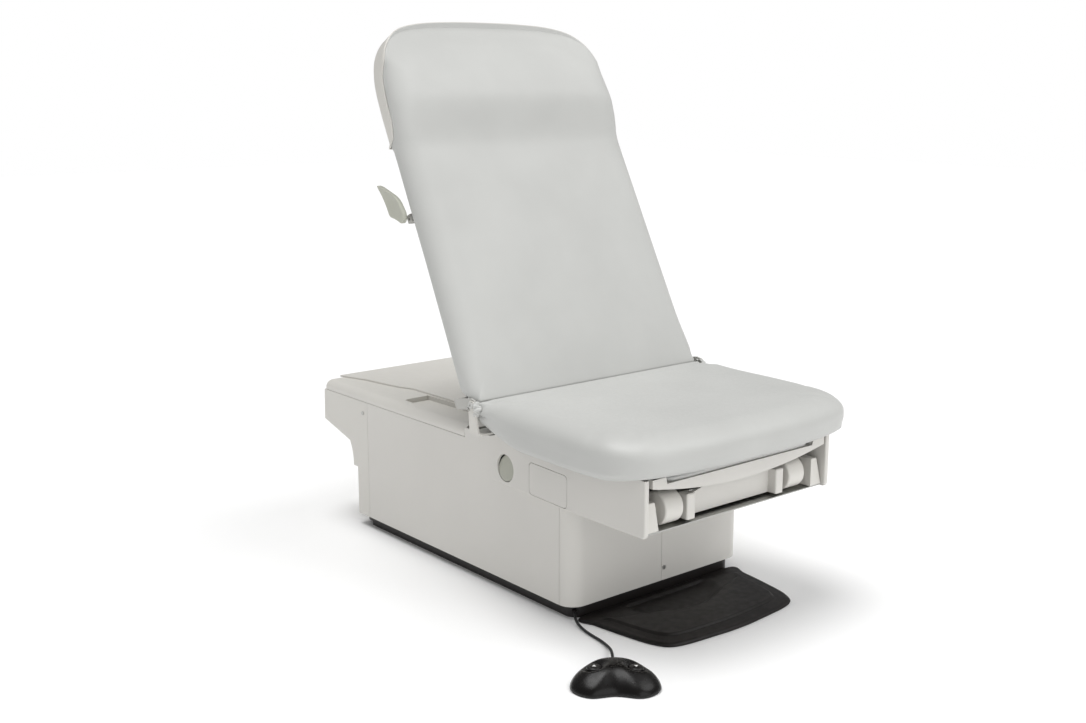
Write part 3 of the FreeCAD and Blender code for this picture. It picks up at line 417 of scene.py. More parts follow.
def rubber(name, colour):
    """Soft black jacket: even, slightly greasy, with faint flow marks."""
    material, tree, shader, where = new_finish(name)
    marks = noise(tree, where, 55, 4)
    tree.links.new(ramp(tree, marks, shade(colour, 0.8), shade(colour, 1.6)), shader.inputs["Base Color"])
    tree.links.new(spread(tree, marks, 0.42, 0.6), shader.inputs["Roughness"])
    relief(tree, shader, noise(tree, where, 700, 2), 0.0001, 0.5)
    return material


def sign_white(name):
    """Printed white of the button symbols, slightly uneven like pad printing."""
    material, tree, shader, where = new_finish(name)
    tone = ramp(tree, noise(tree, where, 300, 3), (0.66, 0.66, 0.65), (0.80, 0.80, 0.79))
    tree.links.new(tone, shader.inputs["Base Color"])
    tree.links.new(spread(tree, noise(tree, where, 500, 2), 0.4, 0.55), shader.inputs["Roughness"])
    return material


def all_finishes():
    """Every finish by the name of the record's material slot, made once."""
    c = bpy.context.scene.exam_table_colours
    if "vinyl" in bpy.data.materials:
        return {m["slot"]: m for m in bpy.data.materials if "slot" in m}
    made = {
        "upholstery": vinyl("vinyl", tuple(c.upholstery)),
        "white_cover": paint("cover paint", tuple(c.cover), 0.42),
        "white_moulding": paint("moulded white", tuple(c.moulding), 0.38, 260, 0.00008),
        "plywood": ply("plywood", (0.52, 0.36, 0.20)),
        "painted_frame": paint("frame paint", (0.46, 0.455, 0.43), 0.5, 300, 0.00015, 0.05),
        "steel": brushed("sheet steel", (0.50, 0.50, 0.48), 0.34, (1, 0.02, 1)),
        "chrome_rod": brushed("ground rod", (0.72, 0.72, 0.72), 0.14, (0.05, 0.05, 1)),
        "black_casing": black_texture("drive casing", (0.018, 0.018, 0.019), 0.5, 500),
        "grey_shroud": paint("shroud paint", (0.26, 0.26, 0.25), 0.45, 350, 0.00012, 0.04),
        "black_paint": paint("skirt paint", tuple(c.dark), 0.42, 350, 0.00014, 0.15),
        "black_moulding": black_texture("floor moulding", tuple(c.dark), 0.46, 900),
        "black_rubber": rubber("black rubber", (0.010, 0.010, 0.010)),
        "grey_button": paint("grey moulding", tuple(c.flap), 0.42, 300, 0.0001, 0.02),
        "dust cover": dust_cloth("dust cover"),
        "black_button": black_texture("button moulding", shade(tuple(c.dark), 0.7), 0.30, 700, 0.4),
        "control": black_texture("control moulding", shade(tuple(c.dark), 0.35), 0.27, 900, 0.25),
    }
    for slot, material in made.items():
        material["slot"] = slot
    return made


# ------------------------------------------------------------
# Pieces

CREASE_FALL = 0.006    # how much lower the seat's top is at the crease
CREASE_RUN = 0.075     # how far from the crease that fall begins
SEAT_RISE_RUN = 0.16   # how far from the crease the seat's lower edge begins to rise
CREASE_ROLL = 0.0045   # roll of both cushions where they meet
TUCK = 0.030           # how far inside its edge a cover is fixed to its board
QUARTER = np.linspace(0, math.pi / 2, 9)[1:]

SEAT_PLAN = [(-0.340, 0.003), (-0.345, 0.022), (-0.350, 0.090), (-0.3545, 0.200), (-0.357, 0.300),
             (-0.356, 0.370), (-0.345, 0.430), (-0.310, 0.474), (-0.255, 0.498), (-0.130, 0.5165)]


def seat_loop(count=360):
    """Plan of the seat: distances forward of the hinge line, mirrored across the table."""
    side = [(x, HINGE[1] - forward) for x, forward in SEAT_PLAN]
    front = [(0.0, SEAT_LOW[1])]
    rear = [(x, HINGE[1] - 0.0022) for x in (0.332, 0.30, 0.2, 0.1, 0, -0.1, -0.2, -0.30, -0.332)]
    return closed_curve(side + front + [(-x, y) for x, y in side[::-1]] + rear, count)


def seat_top(y):
    """Height of the seat's top, which falls to the crease."""
    return SEAT_HIGH[2] - 0.001 - CREASE_FALL * smooth_step(y, HINGE[1] - CREASE_RUN, HINGE[1])


def build_seat():
    """Crowned closed form. The side stands up from a rolled lower edge, then rolls over to the top by
    inset = reach (1 - cos t) and height = top - depth (1 - sin t). The reach is short at the
    crease and long elsewhere; the top falls to the crease and swells a little in the middle."""
    sizes = bpy.context.scene.exam_table_sizes
    loop = seat_loop()
    normal = outward(loop)
    y = loop[:, 1]
    centre = np.array([0.0, (SEAT_LOW[1] + HINGE[1]) / 2])
    half = np.array([SEAT_HIGH[0], (HINGE[1] - SEAT_LOW[1]) / 2])
    back = smooth_step(normal[:, 1], 0.3, 0.9)
    near = smooth_step(y, HINGE[1] - SEAT_RISE_RUN, HINGE[1])
    reach = sizes.seat_round * (1 - back) * (1 - 0.45 * near) + CREASE_ROLL
    depth = 0.034 * (1 - back) * (1 - 0.35 * near) + CREASE_ROLL
    low = seat_low(y)
    top = seat_top(y)
    board = SEAT_LOW[2] + 0.0125
    rings = [(TUCK, board, k) for k in (0.1, 0.4, 0.7, 0.9, 1.0)]
    rings += [(TUCK - 0.002, low + 0.003, 1), (0.022, low + 0.0005, 1), (0.013, low + 0.002, 1)]
    rings += [(0.006, low + 0.008, 1), (0.002, low + 0.018, 1)]
    shoulder = top - depth
    rings += [(0.0, low + 0.030 + (shoulder - low - 0.030) * f, 1) for f in (0, 0.5, 1)]
    rings += [(reach * (1 - math.cos(t)), top - depth * (1 - math.sin(t)), 1) for t in QUARTER]
    shape = rise_and_roll(rings, loop, centre, half)
    rim = shape[-1]
    inner = []
    for share in np.linspace(1, 0.02, 26)[1:]:
        plan = centre + (rim[:, :2] - centre) * share
        inner.append(np.column_stack([plan, seat_top(plan[:, 1]) + 0.0011 * (1 - share ** 2)]))
    shape = np.concatenate([shape, np.array(inner)])
    piece = skin("seat_cushion_cover", shape)
    place = points_of(piece.data)
    held = (place[:, 2] < SEAT_LOW[2] + 0.02) | (place[:, 1] > HINGE[1] - 0.012)
    fill_cushion(piece, held, sizes.swell * 0.6)
    pucker(piece, np.array([[-0.343, HINGE[1] - 0.01, 0.43], [0.343, HINGE[1] - 0.01, 0.43]]))
    finish_piece(piece, "table_top", all_finishes()["upholstery"], ["seat_cushion"])


def build_undersides():
    """Dust covers under the seat and behind the back: a thin panel that follows the cushion's plan a
    little inside its edge and, under the seat, rises with it towards the crease."""
    cloth = all_finishes()["dust cover"]
    loop = seat_loop(240)
    centre = np.array([0.0, (SEAT_LOW[1] + HINGE[1]) / 2])
    half = np.array([SEAT_HIGH[0], (HINGE[1] - SEAT_LOW[1]) / 2])
    shares = np.append(np.linspace(0.02, 0.98, 12), 1.0)
    rings = [(0.026, 0.0, k) for k in np.append(shares, shares[::-1])]
    shape = rise_and_roll(rings, loop, centre, half)
    level = np.repeat([0.0012, 0.0052], len(shares))[:, None]
    shape[..., 2] = seat_low(shape[..., 1]) + level
    panel = skin("seat_dust_cover", shape)
    finish_piece(panel, "table_top", cloth, ["seat_board"])
    edge = round_plan(0.3135, 0.020, 0.608, 0.012)
    shares = (0.02, 0.5, 0.98, 1)
    rings = [(0.0, -0.0445, k) for k in shares] + [(0.0, -0.0400, k) for k in shares[::-1]]
    middle, span = np.array([0.0, 0.314]), np.array([0.3135, 0.294])
    rear = skin("back_dust_cover", stand_on_back(rise_and_roll(rings, edge, middle, span)))
    finish_piece(rear, "back", cloth, ["back_board"])


def seat_low(y):
    """Height of the seat's lower edge: level under the sitter, rising to the crease, and a little
    to the front."""
    near = smooth_step(y, HINGE[1] - SEAT_RISE_RUN, HINGE[1])
    return SEAT_LOW[2] + 0.028 * near ** 1.2 + 0.008 * smooth_step(-y, 0.54, -SEAT_LOW[1])


def pucker(piece, corners, size=0.030, depth=0.0016):
    """Small gathers where the cover is pulled in at a corner: a wave in the angle round the corner
    that dies away with distance, pushed in along the normals."""
    mesh = piece.data
    place = points_of(mesh)
    normals = np.empty(len(mesh.vertices) * 3)
    mesh.vertices.foreach_get("normal", normals)
    normals = normals.reshape(-1, 3)
    for corner in corners:
        away = place - corner
        far = np.linalg.norm(away, axis=1)
        turn = np.arctan2(away[:, 2], away[:, 1])
        wave = (0.5 + 0.5 * np.cos(7 * turn)) * np.exp(-(far / size) ** 2)
        place = place - normals * (depth * wave)[:, None]
    set_points(mesh, place)


BACK_TOP = 0.908
BACK_SIDE = 0.333
BACK_REAR = -0.045
SHELL_REAR = -0.054
SHELL_START = 0.616
SEAM = [(0.600, -0.0500), (0.616, -0.0500), (0.628, -0.029), (0.649, -0.021), (0.666, -0.0165),
        (0.700, -0.0155), (0.738, -0.0130), (0.766, -0.0105), (0.787, -0.004), (0.804, 0.004),
        (0.850, 0.004), (0.908, -0.004)]


def back_loop(count=420):
    """Plan of the back: half width against the distance up from the hinge, with a large round
    corner each side and a slightly bowed top."""
    side = [(0.334, 0.0065), (0.3415, 0.030), (0.3405, 0.090), (0.338, 0.200), (0.3355, 0.330),
            (0.3340, 0.480), (0.3325, 0.620), (0.3305, 0.720), (0.3240, 0.780), (0.3040, 0.836),
            (0.2620, 0.879), (0.1950, 0.899), (0.100, 0.9065)]
    left = [(-x, s) for x, s in side]
    rear = [(x, 0.0024) for x in (-0.326, -0.30, -0.2, -0.1, 0.0, 0.1, 0.2, 0.30, 0.326)]
    return closed_curve(side + [(0.0, BACK_TOP)] + left[::-1] + rear, count)


def back_front(s):
    """How far the front stands out at a point up the back: level, a hollow at the neck, the
    headrest's swell, and a fall to the top edge."""
    rise = bpy.context.scene.exam_table_sizes.neck_rise
    level = 0.0055 + 0.0015 * np.sin(np.clip(s / 0.6, 0, 1) * math.pi)
    neck = rise * smooth_step(s, 0.590, 0.715)
    fall = 0.031 * np.clip((s - 0.700) / 0.205, 0, 1.05) ** 2
    return level + neck - fall


def build_back():
    """Crowned closed form on the back's own plan. Below the head shell its sides wrap back to the
    board; above it they stop at the shell's rim. The roll is the same quarter ellipse as on
    the seat, short at the crease."""
    sizes = bpy.context.scene.exam_table_sizes
    loop = back_loop()
    normal = outward(loop)
    s = loop[:, 1]
    centre = np.array([0.0, 0.456])
    half = np.array([0.3415, 0.452])
    foot = smooth_step(-normal[:, 1], 0.3, 0.9)
    near = 1 - smooth_step(s, 0.0, 0.14)
    reach = sizes.back_round * (1 - foot) * (1 - 0.45 * near) + CREASE_ROLL
    depth = 0.030 * (1 - foot) * (1 - 0.35 * near) + CREASE_ROLL
    head = smooth_step(s, 0.600, 0.622)
    seam = np.interp(s, *np.array(SEAM).T)
    toe = 0.020 * (1 - smooth_step(s, 0.004, 0.045))
    rear = BACK_REAR * (1 - head) + (seam + 0.0005) * head + toe
    front = back_front(s)
    depth = np.minimum(depth, np.maximum(front - rear - 0.008, 0.004))
    board = np.where(head > 0.5, -0.012, -0.0335)
    rings = [(TUCK, board, k) for k in (0.1, 0.4, 0.7, 0.9, 1.0)]
    rings += [(TUCK - 0.002, rear + 0.003 * (1 - head), 1)]
    rings += [(0.020, rear + 0.0005, 1), (0.012, rear + 0.0015, 1)]
    rings += [(0.005, rear + 0.005, 1), (0.0015, rear + 0.010 * (1 - head) + 0.007 * head, 1)]
    shoulder = front - depth
    start = rear + 0.014 * (1 - head) + 0.008 * head
    rings += [(0.0, start + (shoulder - start) * f, 1) for f in (0, 0.5, 1)]
    rings += [(reach * (1 - math.cos(t)), front - depth * (1 - math.sin(t)), 1) for t in QUARTER]
    shape = rise_and_roll(rings, loop, centre, half)
    rim = shape[-1]
    shape[-1, :, 2] = back_front(rim[:, 1])
    inner = []
    for share in np.linspace(1, 0.02, 34)[1:]:
        plan = centre + (rim[:, :2] - centre) * share
        height = back_front(plan[:, 1]) + 0.0012 * (1 - share ** 2)
        inner.append(np.column_stack([plan, height]))
    shape = np.concatenate([shape, np.array(inner)])
    front_row = np.arange(len(rings) - len(QUARTER), len(rings))
    own = back_front(shape[front_row, :, 1])
    lag = np.linspace(0, 1, len(QUARTER))[:, None]
    shape[front_row, :, 2] += (own - front) * lag * (lag < 1)
    piece = skin("back_cushion_cover", shape)
    local = points_of(piece.data)
    on_board = (local[:, 2] < -0.030) | (local[:, 1] < 0.016)
    in_shell = (local[:, 1] > 0.60) & (local[:, 2] < -0.003)
    fill_cushion(piece, on_board | in_shell, sizes.swell * 0.6)
    set_points(piece.data, stand_on_back(points_of(piece.data)))
    spot = stand_on_back(np.array([[-0.3385, 0.022, -0.012], [0.3385, 0.022, -0.012]]))
    pucker(piece, spot)
    finish_piece(piece, "back", all_finishes()["upholstery"], ["back_cushion"])


def build_head_shell():
    """Moulded tray behind the headrest. Its rim follows the seam; from there the wall runs back a
    little inwards, rolls round a quarter circle and closes flat, all on the back's plan grown by
    two millimetres. The apron is a rounded panel down the middle of the back."""
    sizes = bpy.context.scene.exam_table_sizes
    loop = back_loop(640)
    start = SHELL_START
    arc = loop[loop[:, 1] > start]
    order = np.argsort(np.arctan2(arc[:, 1] - start, arc[:, 0]))
    arc = arc[order]
    arc[0, 1] = arc[-1, 1] = start
    grow = 1 + 0.0022 / np.array([BACK_SIDE, BACK_TOP - start])
    base = np.array([0.0, start])
    seam = np.interp(arc[:, 1], *np.array(SEAM).T) + 0.0075
    round_off = 0.020
    rows = []
    flat = SHELL_REAR + 0.0005
    deep = np.maximum(seam - flat, 0.0004)
    roll = np.minimum(round_off, deep * 0.8)
    outer = base + (arc - base) * grow
    for f in np.linspace(0, 1, 5):
        height = seam + (flat + roll - seam) * f
        plan = base + (outer - base) * (1 - 0.002 * f)
        rows.append(np.column_stack([plan, height]))
    for t in np.linspace(0, math.pi / 2, 8)[1:]:
        pull = roll * (1 - math.cos(t))
        plan = base + (outer - base) * 0.998
        plan = base + (plan - base) * (1 - pull[:, None] / np.array([BACK_SIDE, BACK_TOP - start]))
        rows.append(np.column_stack([plan, flat + roll * (1 - math.sin(t))]))
    last = rows[-1]
    for share in np.linspace(1, 0.0, 14)[1:]:
        plan = base + (last[:, :2] - base) * share
        rows.append(np.column_stack([plan, np.full(len(plan), flat)]))
    points = stand_on_back(np.array(rows))
    tray = skin("head_shell_tray", points, wrap=False, ends=(False, False))
    wall = tray.modifiers.new("wall", "SOLIDIFY")
    wall.thickness = sizes.shell_wall
    wall.offset = -1
    merge_and_turn(tray, stand_on_back(np.array([[0.0, 0.75, -0.02]]))[0])
    finish_piece(tray, "back", all_finishes()["white_moulding"], ["head_shell"])
    edge = round_plan(0.172, 0.110, 0.622, 0.020)
    middle, half = np.array([0.0, 0.366]), np.array([0.172, 0.256])
    front, rear = -0.0460, -0.058
    rings = [(0.0, front, 1), (0.0, rear + 0.006, 1), (0.0015, rear + 0.002, 1), (0.006, rear, 1)]
    rings += [(0.006, rear, k) for k in (0.75, 0.5, 0.25, 0.02)]
    rings = [(0.006, front, k) for k in (0.02, 0.5, 0.98)] + rings
    apron = skin("back_apron", stand_on_back(rise_and_roll(rings, edge, middle, half)))
    finish_piece(apron, "back", all_finishes()["white_moulding"], ["head_shell"])


def merge_and_turn(piece, inside):
    """Joins points that lie on each other and turns every face away from a point inside."""
    mesh = bmesh.new()
    mesh.from_mesh(piece.data)
    bmesh.ops.remove_doubles(mesh, verts=mesh.verts, dist=1e-6)
    bmesh.ops.dissolve_degenerate(mesh, dist=1e-7, edges=mesh.edges)
    bmesh.ops.recalc_face_normals(mesh, faces=mesh.faces)
    largest = max(mesh.faces, key=lambda f: f.calc_area())
    if largest.normal.dot(largest.calc_center_median() - Vector(inside)) < 0:
        bmesh.ops.reverse_faces(mesh, faces=mesh.faces)
    for face in mesh.faces:
        face.smooth = True
    mesh.to_mesh(piece.data)
    mesh.free()


def build_extension_pad():
    """Thin pad on the foot extension: flat below, rolled at its edge, faintly crowned."""
    low, high = PAD_LOW, PAD_HIGH
    corners = [(high[0], low[1] + 0.03), (high[0], (low[1] + high[1]) / 2), (high[0], high[1] - 0.03),
               (high[0] - 0.008, high[1] - 0.006), (high[0] - 0.04, high[1])]
    side = corners + [(0.0, high[1])]
    plan = side + [(-x, y) for x, y in corners[::-1]]
    lower = [(-high[0] + 0.008, low[1] + 0.006), (-high[0] + 0.04, low[1]), (0.0, low[1]),
             (high[0] - 0.04, low[1]), (high[0] - 0.008, low[1] + 0.006)]
    loop = closed_curve(plan + lower, 240)
    centre = np.array([0.0, (low[1] + high[1]) / 2])
    half = np.array([high[0], (high[1] - low[1]) / 2])
    bottom, top = low[2] + 0.0002, high[2] - 0.001
    rings = [(0.004, bottom, k) for k in (0.02, 0.5, 1)]
    rings += [(0.001, bottom + 0.001, 1), (0.0, bottom + 0.005, 1)]
    arc = np.linspace(0, math.pi / 2, 6)
    rings += [(0.006 * (1 - math.cos(t)), top - 0.006 * (1 - math.sin(t)), 1) for t in arc]
    rings += [(0.006, top + 0.0008 * (1 - k * k), k) for k in (0.9, 0.7, 0.5, 0.25, 0.02)]
    piece = skin("extension_pad_cover", rise_and_roll(rings, loop, centre, half))
    finish_piece(piece, "foot_extension", all_finishes()["upholstery"], ["extension_pad"])


def build_gussets():
    """Crumpled cover at each end of the crease: a half cup round the hinge line whose radius
    ripples with the angle and across its width."""
    for name, side in (("crease_gusset_left", -1), ("crease_gusset_right", 1)):
        turn = np.linspace(math.radians(-62), math.radians(200), 60)
        across = np.linspace(0, 1, 9)
        a, w = np.meshgrid(turn, across, indexing="ij")
        ripple = 0.0016 * np.sin(6.5 * a + 2.2 * w) + 0.0009 * np.sin(13 * a - 5 * w + 1)
        radius = 0.0165 - 0.006 * w ** 2 + ripple
        x = side * (0.3385 + 0.0165 * w ** 0.8 + 0.0010 * np.sin(9 * a + 1))
        y = HINGE[1] - 0.004 - radius * np.cos(a)
        z = HINGE[2] - 0.010 + radius * np.sin(a) * 1.05
        piece = skin(name, np.stack([x, y, z], axis=-1), wrap=False, ends=(False, False))
        cloth = piece.modifiers.new("cloth", "SOLIDIFY")
        cloth.thickness = 0.0012
        cloth.offset = 0
        merge_and_turn(piece, (side * 0.33, HINGE[1] - 0.004, HINGE[2] - 0.01))
        subdivide(piece)
        finish_piece(piece, "table_top", all_finishes()["upholstery"])


LEVER_PLAN = [(0.442, -0.061), (0.446, -0.049), (0.457, -0.044), (0.472, -0.046), (0.490, -0.050),
              (0.505, -0.058), (0.522, -0.073), (0.549, -0.099), (0.547, -0.104), (0.522, -0.1005),
              (0.497, -0.0985), (0.478, -0.098), (0.470, -0.094), (0.461, -0.082), (0.451, -0.071)]


def build_levers():
    """Fish-tail paddle: a rounded slab on a plan of distances up the back and out of its front,
    bowed away from the cushion towards its tip by the square of the distance."""
    edge = closed_curve(LEVER_PLAN, 150)
    low, high = edge.min(axis=0), edge.max(axis=0)
    centre, half = (low + high) / 2, (high - low) / 2
    inner, outer = 0.3385, 0.3505
    rings = [(0.0015, inner, k) for k in (0.02, 0.4, 0.8, 1)] + [(0.0, inner + 0.0015, 1)]
    rings += [(0.0, outer - 0.003, 1), (0.0008, outer - 0.001, 1), (0.003, outer, 1)]
    rings += [(0.005, outer, k) for k in (0.95, 0.85, 0.7, 0.5, 0.3, 0.02)]
    shape = rise_and_roll(rings, edge, centre, half)
    up, out, across = shape[..., 0], shape[..., 1], shape[..., 2]
    bow = 0.006 * np.clip((up - 0.470) / 0.080, 0, 1) ** 2
    hollow = 0.0025 * np.exp(-((up - 0.500) / 0.022) ** 2 - ((out + 0.072) / 0.016) ** 2)
    across = across + bow * (across > 0) - hollow * (across > outer - 0.0005)
    for name, side in (("release_lever_left", -1), ("release_lever_right", 1)):
        piece = skin(name + "_paddle", stand_on_back(np.stack([side * across, up, out], axis=-1)))
        finish_piece(piece, name, all_finishes()["grey_button"], [name])


STEP_PLAN = [(0.237, -0.352), (0.232, -0.400), (0.222, -0.470), (0.205, -0.545), (0.170, -0.583),
             (0.060, -0.597), (0.0, -0.600)]


def build_step_cover():
    """Floor cover in front of the base: a thin rounded slab whose brim climbs to a low step, a
    plateau inside it, and an oval dish at the rear. The dish is
    depth smooth_step(1 - (x / a)^2 - ((y - y0) / b)^2)."""
    sizes = bpy.context.scene.exam_table_sizes
    left = [(-x, y) for x, y in STEP_PLAN[::-1][1:]]
    plan = STEP_PLAN + left + [(x, -0.3505) for x in (-0.12, 0.0, 0.12)]
    loop = closed_curve(plan, 360)
    centre, half = np.array([0.0, -0.4755]), np.array([0.237, 0.1245])
    tall = sizes.step_height
    rear = smooth_step(loop[:, 1], -0.375, -0.352)
    rings = [(0.006, 0.0, k) for k in (0.02, 0.5, 1)]
    rings += [(0.001, 0.0006, 1), (0.0, 0.003, 1), (0.0012, 0.0055, 1), (0.004, 0.0072, 1)]
    rings += [(0.008, 0.0080, 1)]
    for inset in np.linspace(0.013, 0.060, 26):
        brim = 0.0080 + 0.0014 * smooth_step(inset, 0.010, 0.032)
        step = (tall - 0.0096) * smooth_step(inset, 0.0315, 0.0385) * (1 - rear)
        rings.append((inset, brim + step, 1))
    flat = rings[-1][1]
    rings += [(0.060, flat, k) for k in np.linspace(0.97, 0.02, 34)]
    shape = rise_and_roll(rings, loop, centre, half)
    oval = 1 - (shape[..., 0] / 0.135) ** 2 - ((shape[..., 1] + 0.392) / 0.088) ** 2
    top = np.arange(len(rings))[:, None] > 12
    shape[..., 2] -= 0.0070 * smooth_step(oval, 0.0, 0.45) * top
    piece = skin("step_cover_moulding", shape)
    finish_piece(piece, "base", all_finishes()["black_moulding"], ["step_cover"])


CONTROL_AT = np.array([-0.386, -0.628])
CONTROL_TURN = math.radians(-39.6)
CONTROL_TALL = 0.044
BUTTON_X = 0.040
BUTTON_Y = 0.008
WELL = 0.0045       # depth of the well that a button sinks into
CONTROL_PLAN = [(0.084, -0.030), (0.080, 0.012), (0.044, 0.058), (0.0, 0.070), (-0.044, 0.058),
                (-0.080, 0.012), (-0.084, -0.030), (-0.050, -0.058), (0.0, -0.050), (0.050, -0.058)]


def place_control(points):
    """Turns and moves a shape from the foot control's own frame to its place on the floor."""
    c, s = math.cos(CONTROL_TURN), math.sin(CONTROL_TURN)
    x = CONTROL_AT[0] + c * points[..., 0] - s * points[..., 1]
    y = CONTROL_AT[1] + s * points[..., 0] + c * points[..., 1]
    return np.stack([x, y, points[..., 2]], axis=-1)


def control_height(x, y, share):
    """Dome of the foot control: an ellipse in the share of its plan, lowered round each button
    so that a ridge is left between them, with a well under each button."""
    dome = 0.004 + (CONTROL_TALL - 0.004) * (1 - share ** 2.6) ** 0.62
    for spot in (-BUTTON_X, BUTTON_X):
        far = np.hypot(x - spot, y - BUTTON_Y)
        dome = dome - 0.009 * (1 - smooth_step(far, 0.012, 0.030)) * (1 - share ** 4)
        dome = dome - WELL * (1 - smooth_step(far, 0.0135, 0.0162)) * (1 - share ** 4)
    front = 0.010 * smooth_step(-y, 0.0, 0.06) * (1 - share ** 4)
    return dome - front


def build_foot_control():
    """Kidney-shaped housing: copies of its plan shrunk to the middle, each at the dome's height.
    The buttons are rounded discs with a raised triangle."""
    finishes = all_finishes()
    loop = closed_curve(CONTROL_PLAN, 220)
    base = np.array([0.0, 0.004])
    rows = [np.column_stack([loop * k, np.full(len(loop), 0.0042)]) for k in (0.02, 0.5, 0.97)]
    shares = np.concatenate([[1.0, 0.998, 0.99, 0.975], np.linspace(0.95, 0.02, 40)])
    for share in shares:
        plan = base + (loop - base) * share
        rows.append(np.column_stack([plan, control_height(plan[:, 0], plan[:, 1], share)]))
    housing = skin("foot_control_dome", place_control(np.array(rows)))
    finish_piece(housing, "base", finishes["control"], ["foot_control_housing"])
    white = sign_white("sign white")
    for name, spot, way in (("foot_button_up", -BUTTON_X, 1), ("foot_button_down", BUTTON_X, -1)):
        turn = np.linspace(0, 2 * math.pi, 64, endpoint=False)
        seat = float(control_height(np.array(spot), np.array(BUTTON_Y), 0.45)) + WELL
        profile = [(0.0004, seat - 0.012), (0.0145, seat - 0.012), (0.0147, seat - 0.001),
                   (0.0140, seat + 0.0015), (0.0120, seat + 0.0028), (0.0070, seat + 0.0034),
                   (0.0004, seat + 0.0036)]
        rows = []
        for r, h in profile:
            x, y = spot + r * np.cos(turn), BUTTON_Y + r * np.sin(turn)
            rows.append(np.column_stack([x, y, np.full(len(turn), h)]))
        button = skin(name + "_cap", place_control(np.array(rows)))
        finish_piece(button, name, finishes["black_button"], [name])
        corners = np.array([(0.0, 0.0044), (0.0040, -0.0028), (-0.0040, -0.0028)]) * [1, way]
        edge = corners[np.arange(3)[:, None], :]
        steps = np.linspace(0, 1, 12, endpoint=False)[None, :, None]
        line = (edge + (np.roll(corners, -1, axis=0)[:, None, :] - edge) * steps).reshape(-1, 2)
        top = seat + 0.0036
        rows = []
        for k, h in ((0.02, -0.001), (1, -0.001), (1, 0.0001), (0.96, 0.0003), (0.02, 0.0003)):
            rows.append(np.column_stack([line * k + [spot, BUTTON_Y], np.full(len(line), top + h)]))
        sign = skin(name + "_sign", place_control(np.array(rows)))
        finish_piece(sign, name, white)


CORD_ROUTE = [(-0.240, -0.342, 0.014), (-0.251, -0.355, 0.0115), (-0.261, -0.376, 0.006),
              (-0.268, -0.404, 0.0033), (-0.273, -0.434, 0.0032), (-0.276, -0.466, 0.0032),
              (-0.2845, -0.496, 0.0042), (-0.2985, -0.521, 0.0085), (-0.31397, -0.54093, 0.012),
              (-0.32736, -0.55711, 0.012)]


def build_cord():
    """Round cord along one smooth spline from the gland under the front corner to the control."""
    sizes = bpy.context.scene.exam_table_sizes
    curve = bpy.data.curves.new("foot_control_cord_line", "CURVE")
    curve.dimensions = "3D"
    curve.bevel_depth = sizes.cord_diameter / 2
    curve.bevel_resolution = 6
    curve.resolution_u = 24
    curve.use_fill_caps = True
    spline = curve.splines.new("NURBS")
    spline.points.add(len(CORD_ROUTE) - 1)
    spline.points.foreach_set("co", [v for p in CORD_ROUTE for v in (*p, 1.0)])
    spline.order_u = 3
    spline.use_endpoint_u = True
    cord = bpy.data.objects.new("foot_control_lead", curve)
    bpy.context.scene.collection.objects.link(cord)
    curve.materials.append(all_finishes()["black_rubber"])
    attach(cord, "base")
    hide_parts("foot_control_cord")


def dress_cad_nodes():
    """Every node that shows as it was made gets the finish of its slot."""
    finishes = all_finishes()
    slots = {p["node"]: p["material_slot"] for p in frame["record"]["subparts"]}
    for name, node in frame["nodes"].items():
        node.data.materials.clear()
        node.data.materials.append(finishes[slots[name]])


# ------------------------------------------------------------
# Studio

CAMERA_AT = (-1.9604, -2.3197, 1.1191)
CAMERA_WAY = (0.6228, 0.7542, -0.2083)
CAMERA_LENS = 43.5
FLOOR_HALF = 14
ROOM_LIGHT = 0.36      # how bright the white room is to everything but the camera


def broad_light(name, towards, spread, strength):
    """Light that comes evenly from one side of the room, as from a large soft box far away."""
    light = bpy.data.lights.new(name, "SUN")
    light.angle = math.radians(spread)
    light.energy = strength
    lamp = bpy.data.objects.new(name, light)
    lamp.rotation_euler = Vector(towards).to_track_quat("Z", "Y").to_euler()
    bpy.context.scene.collection.objects.link(lamp)


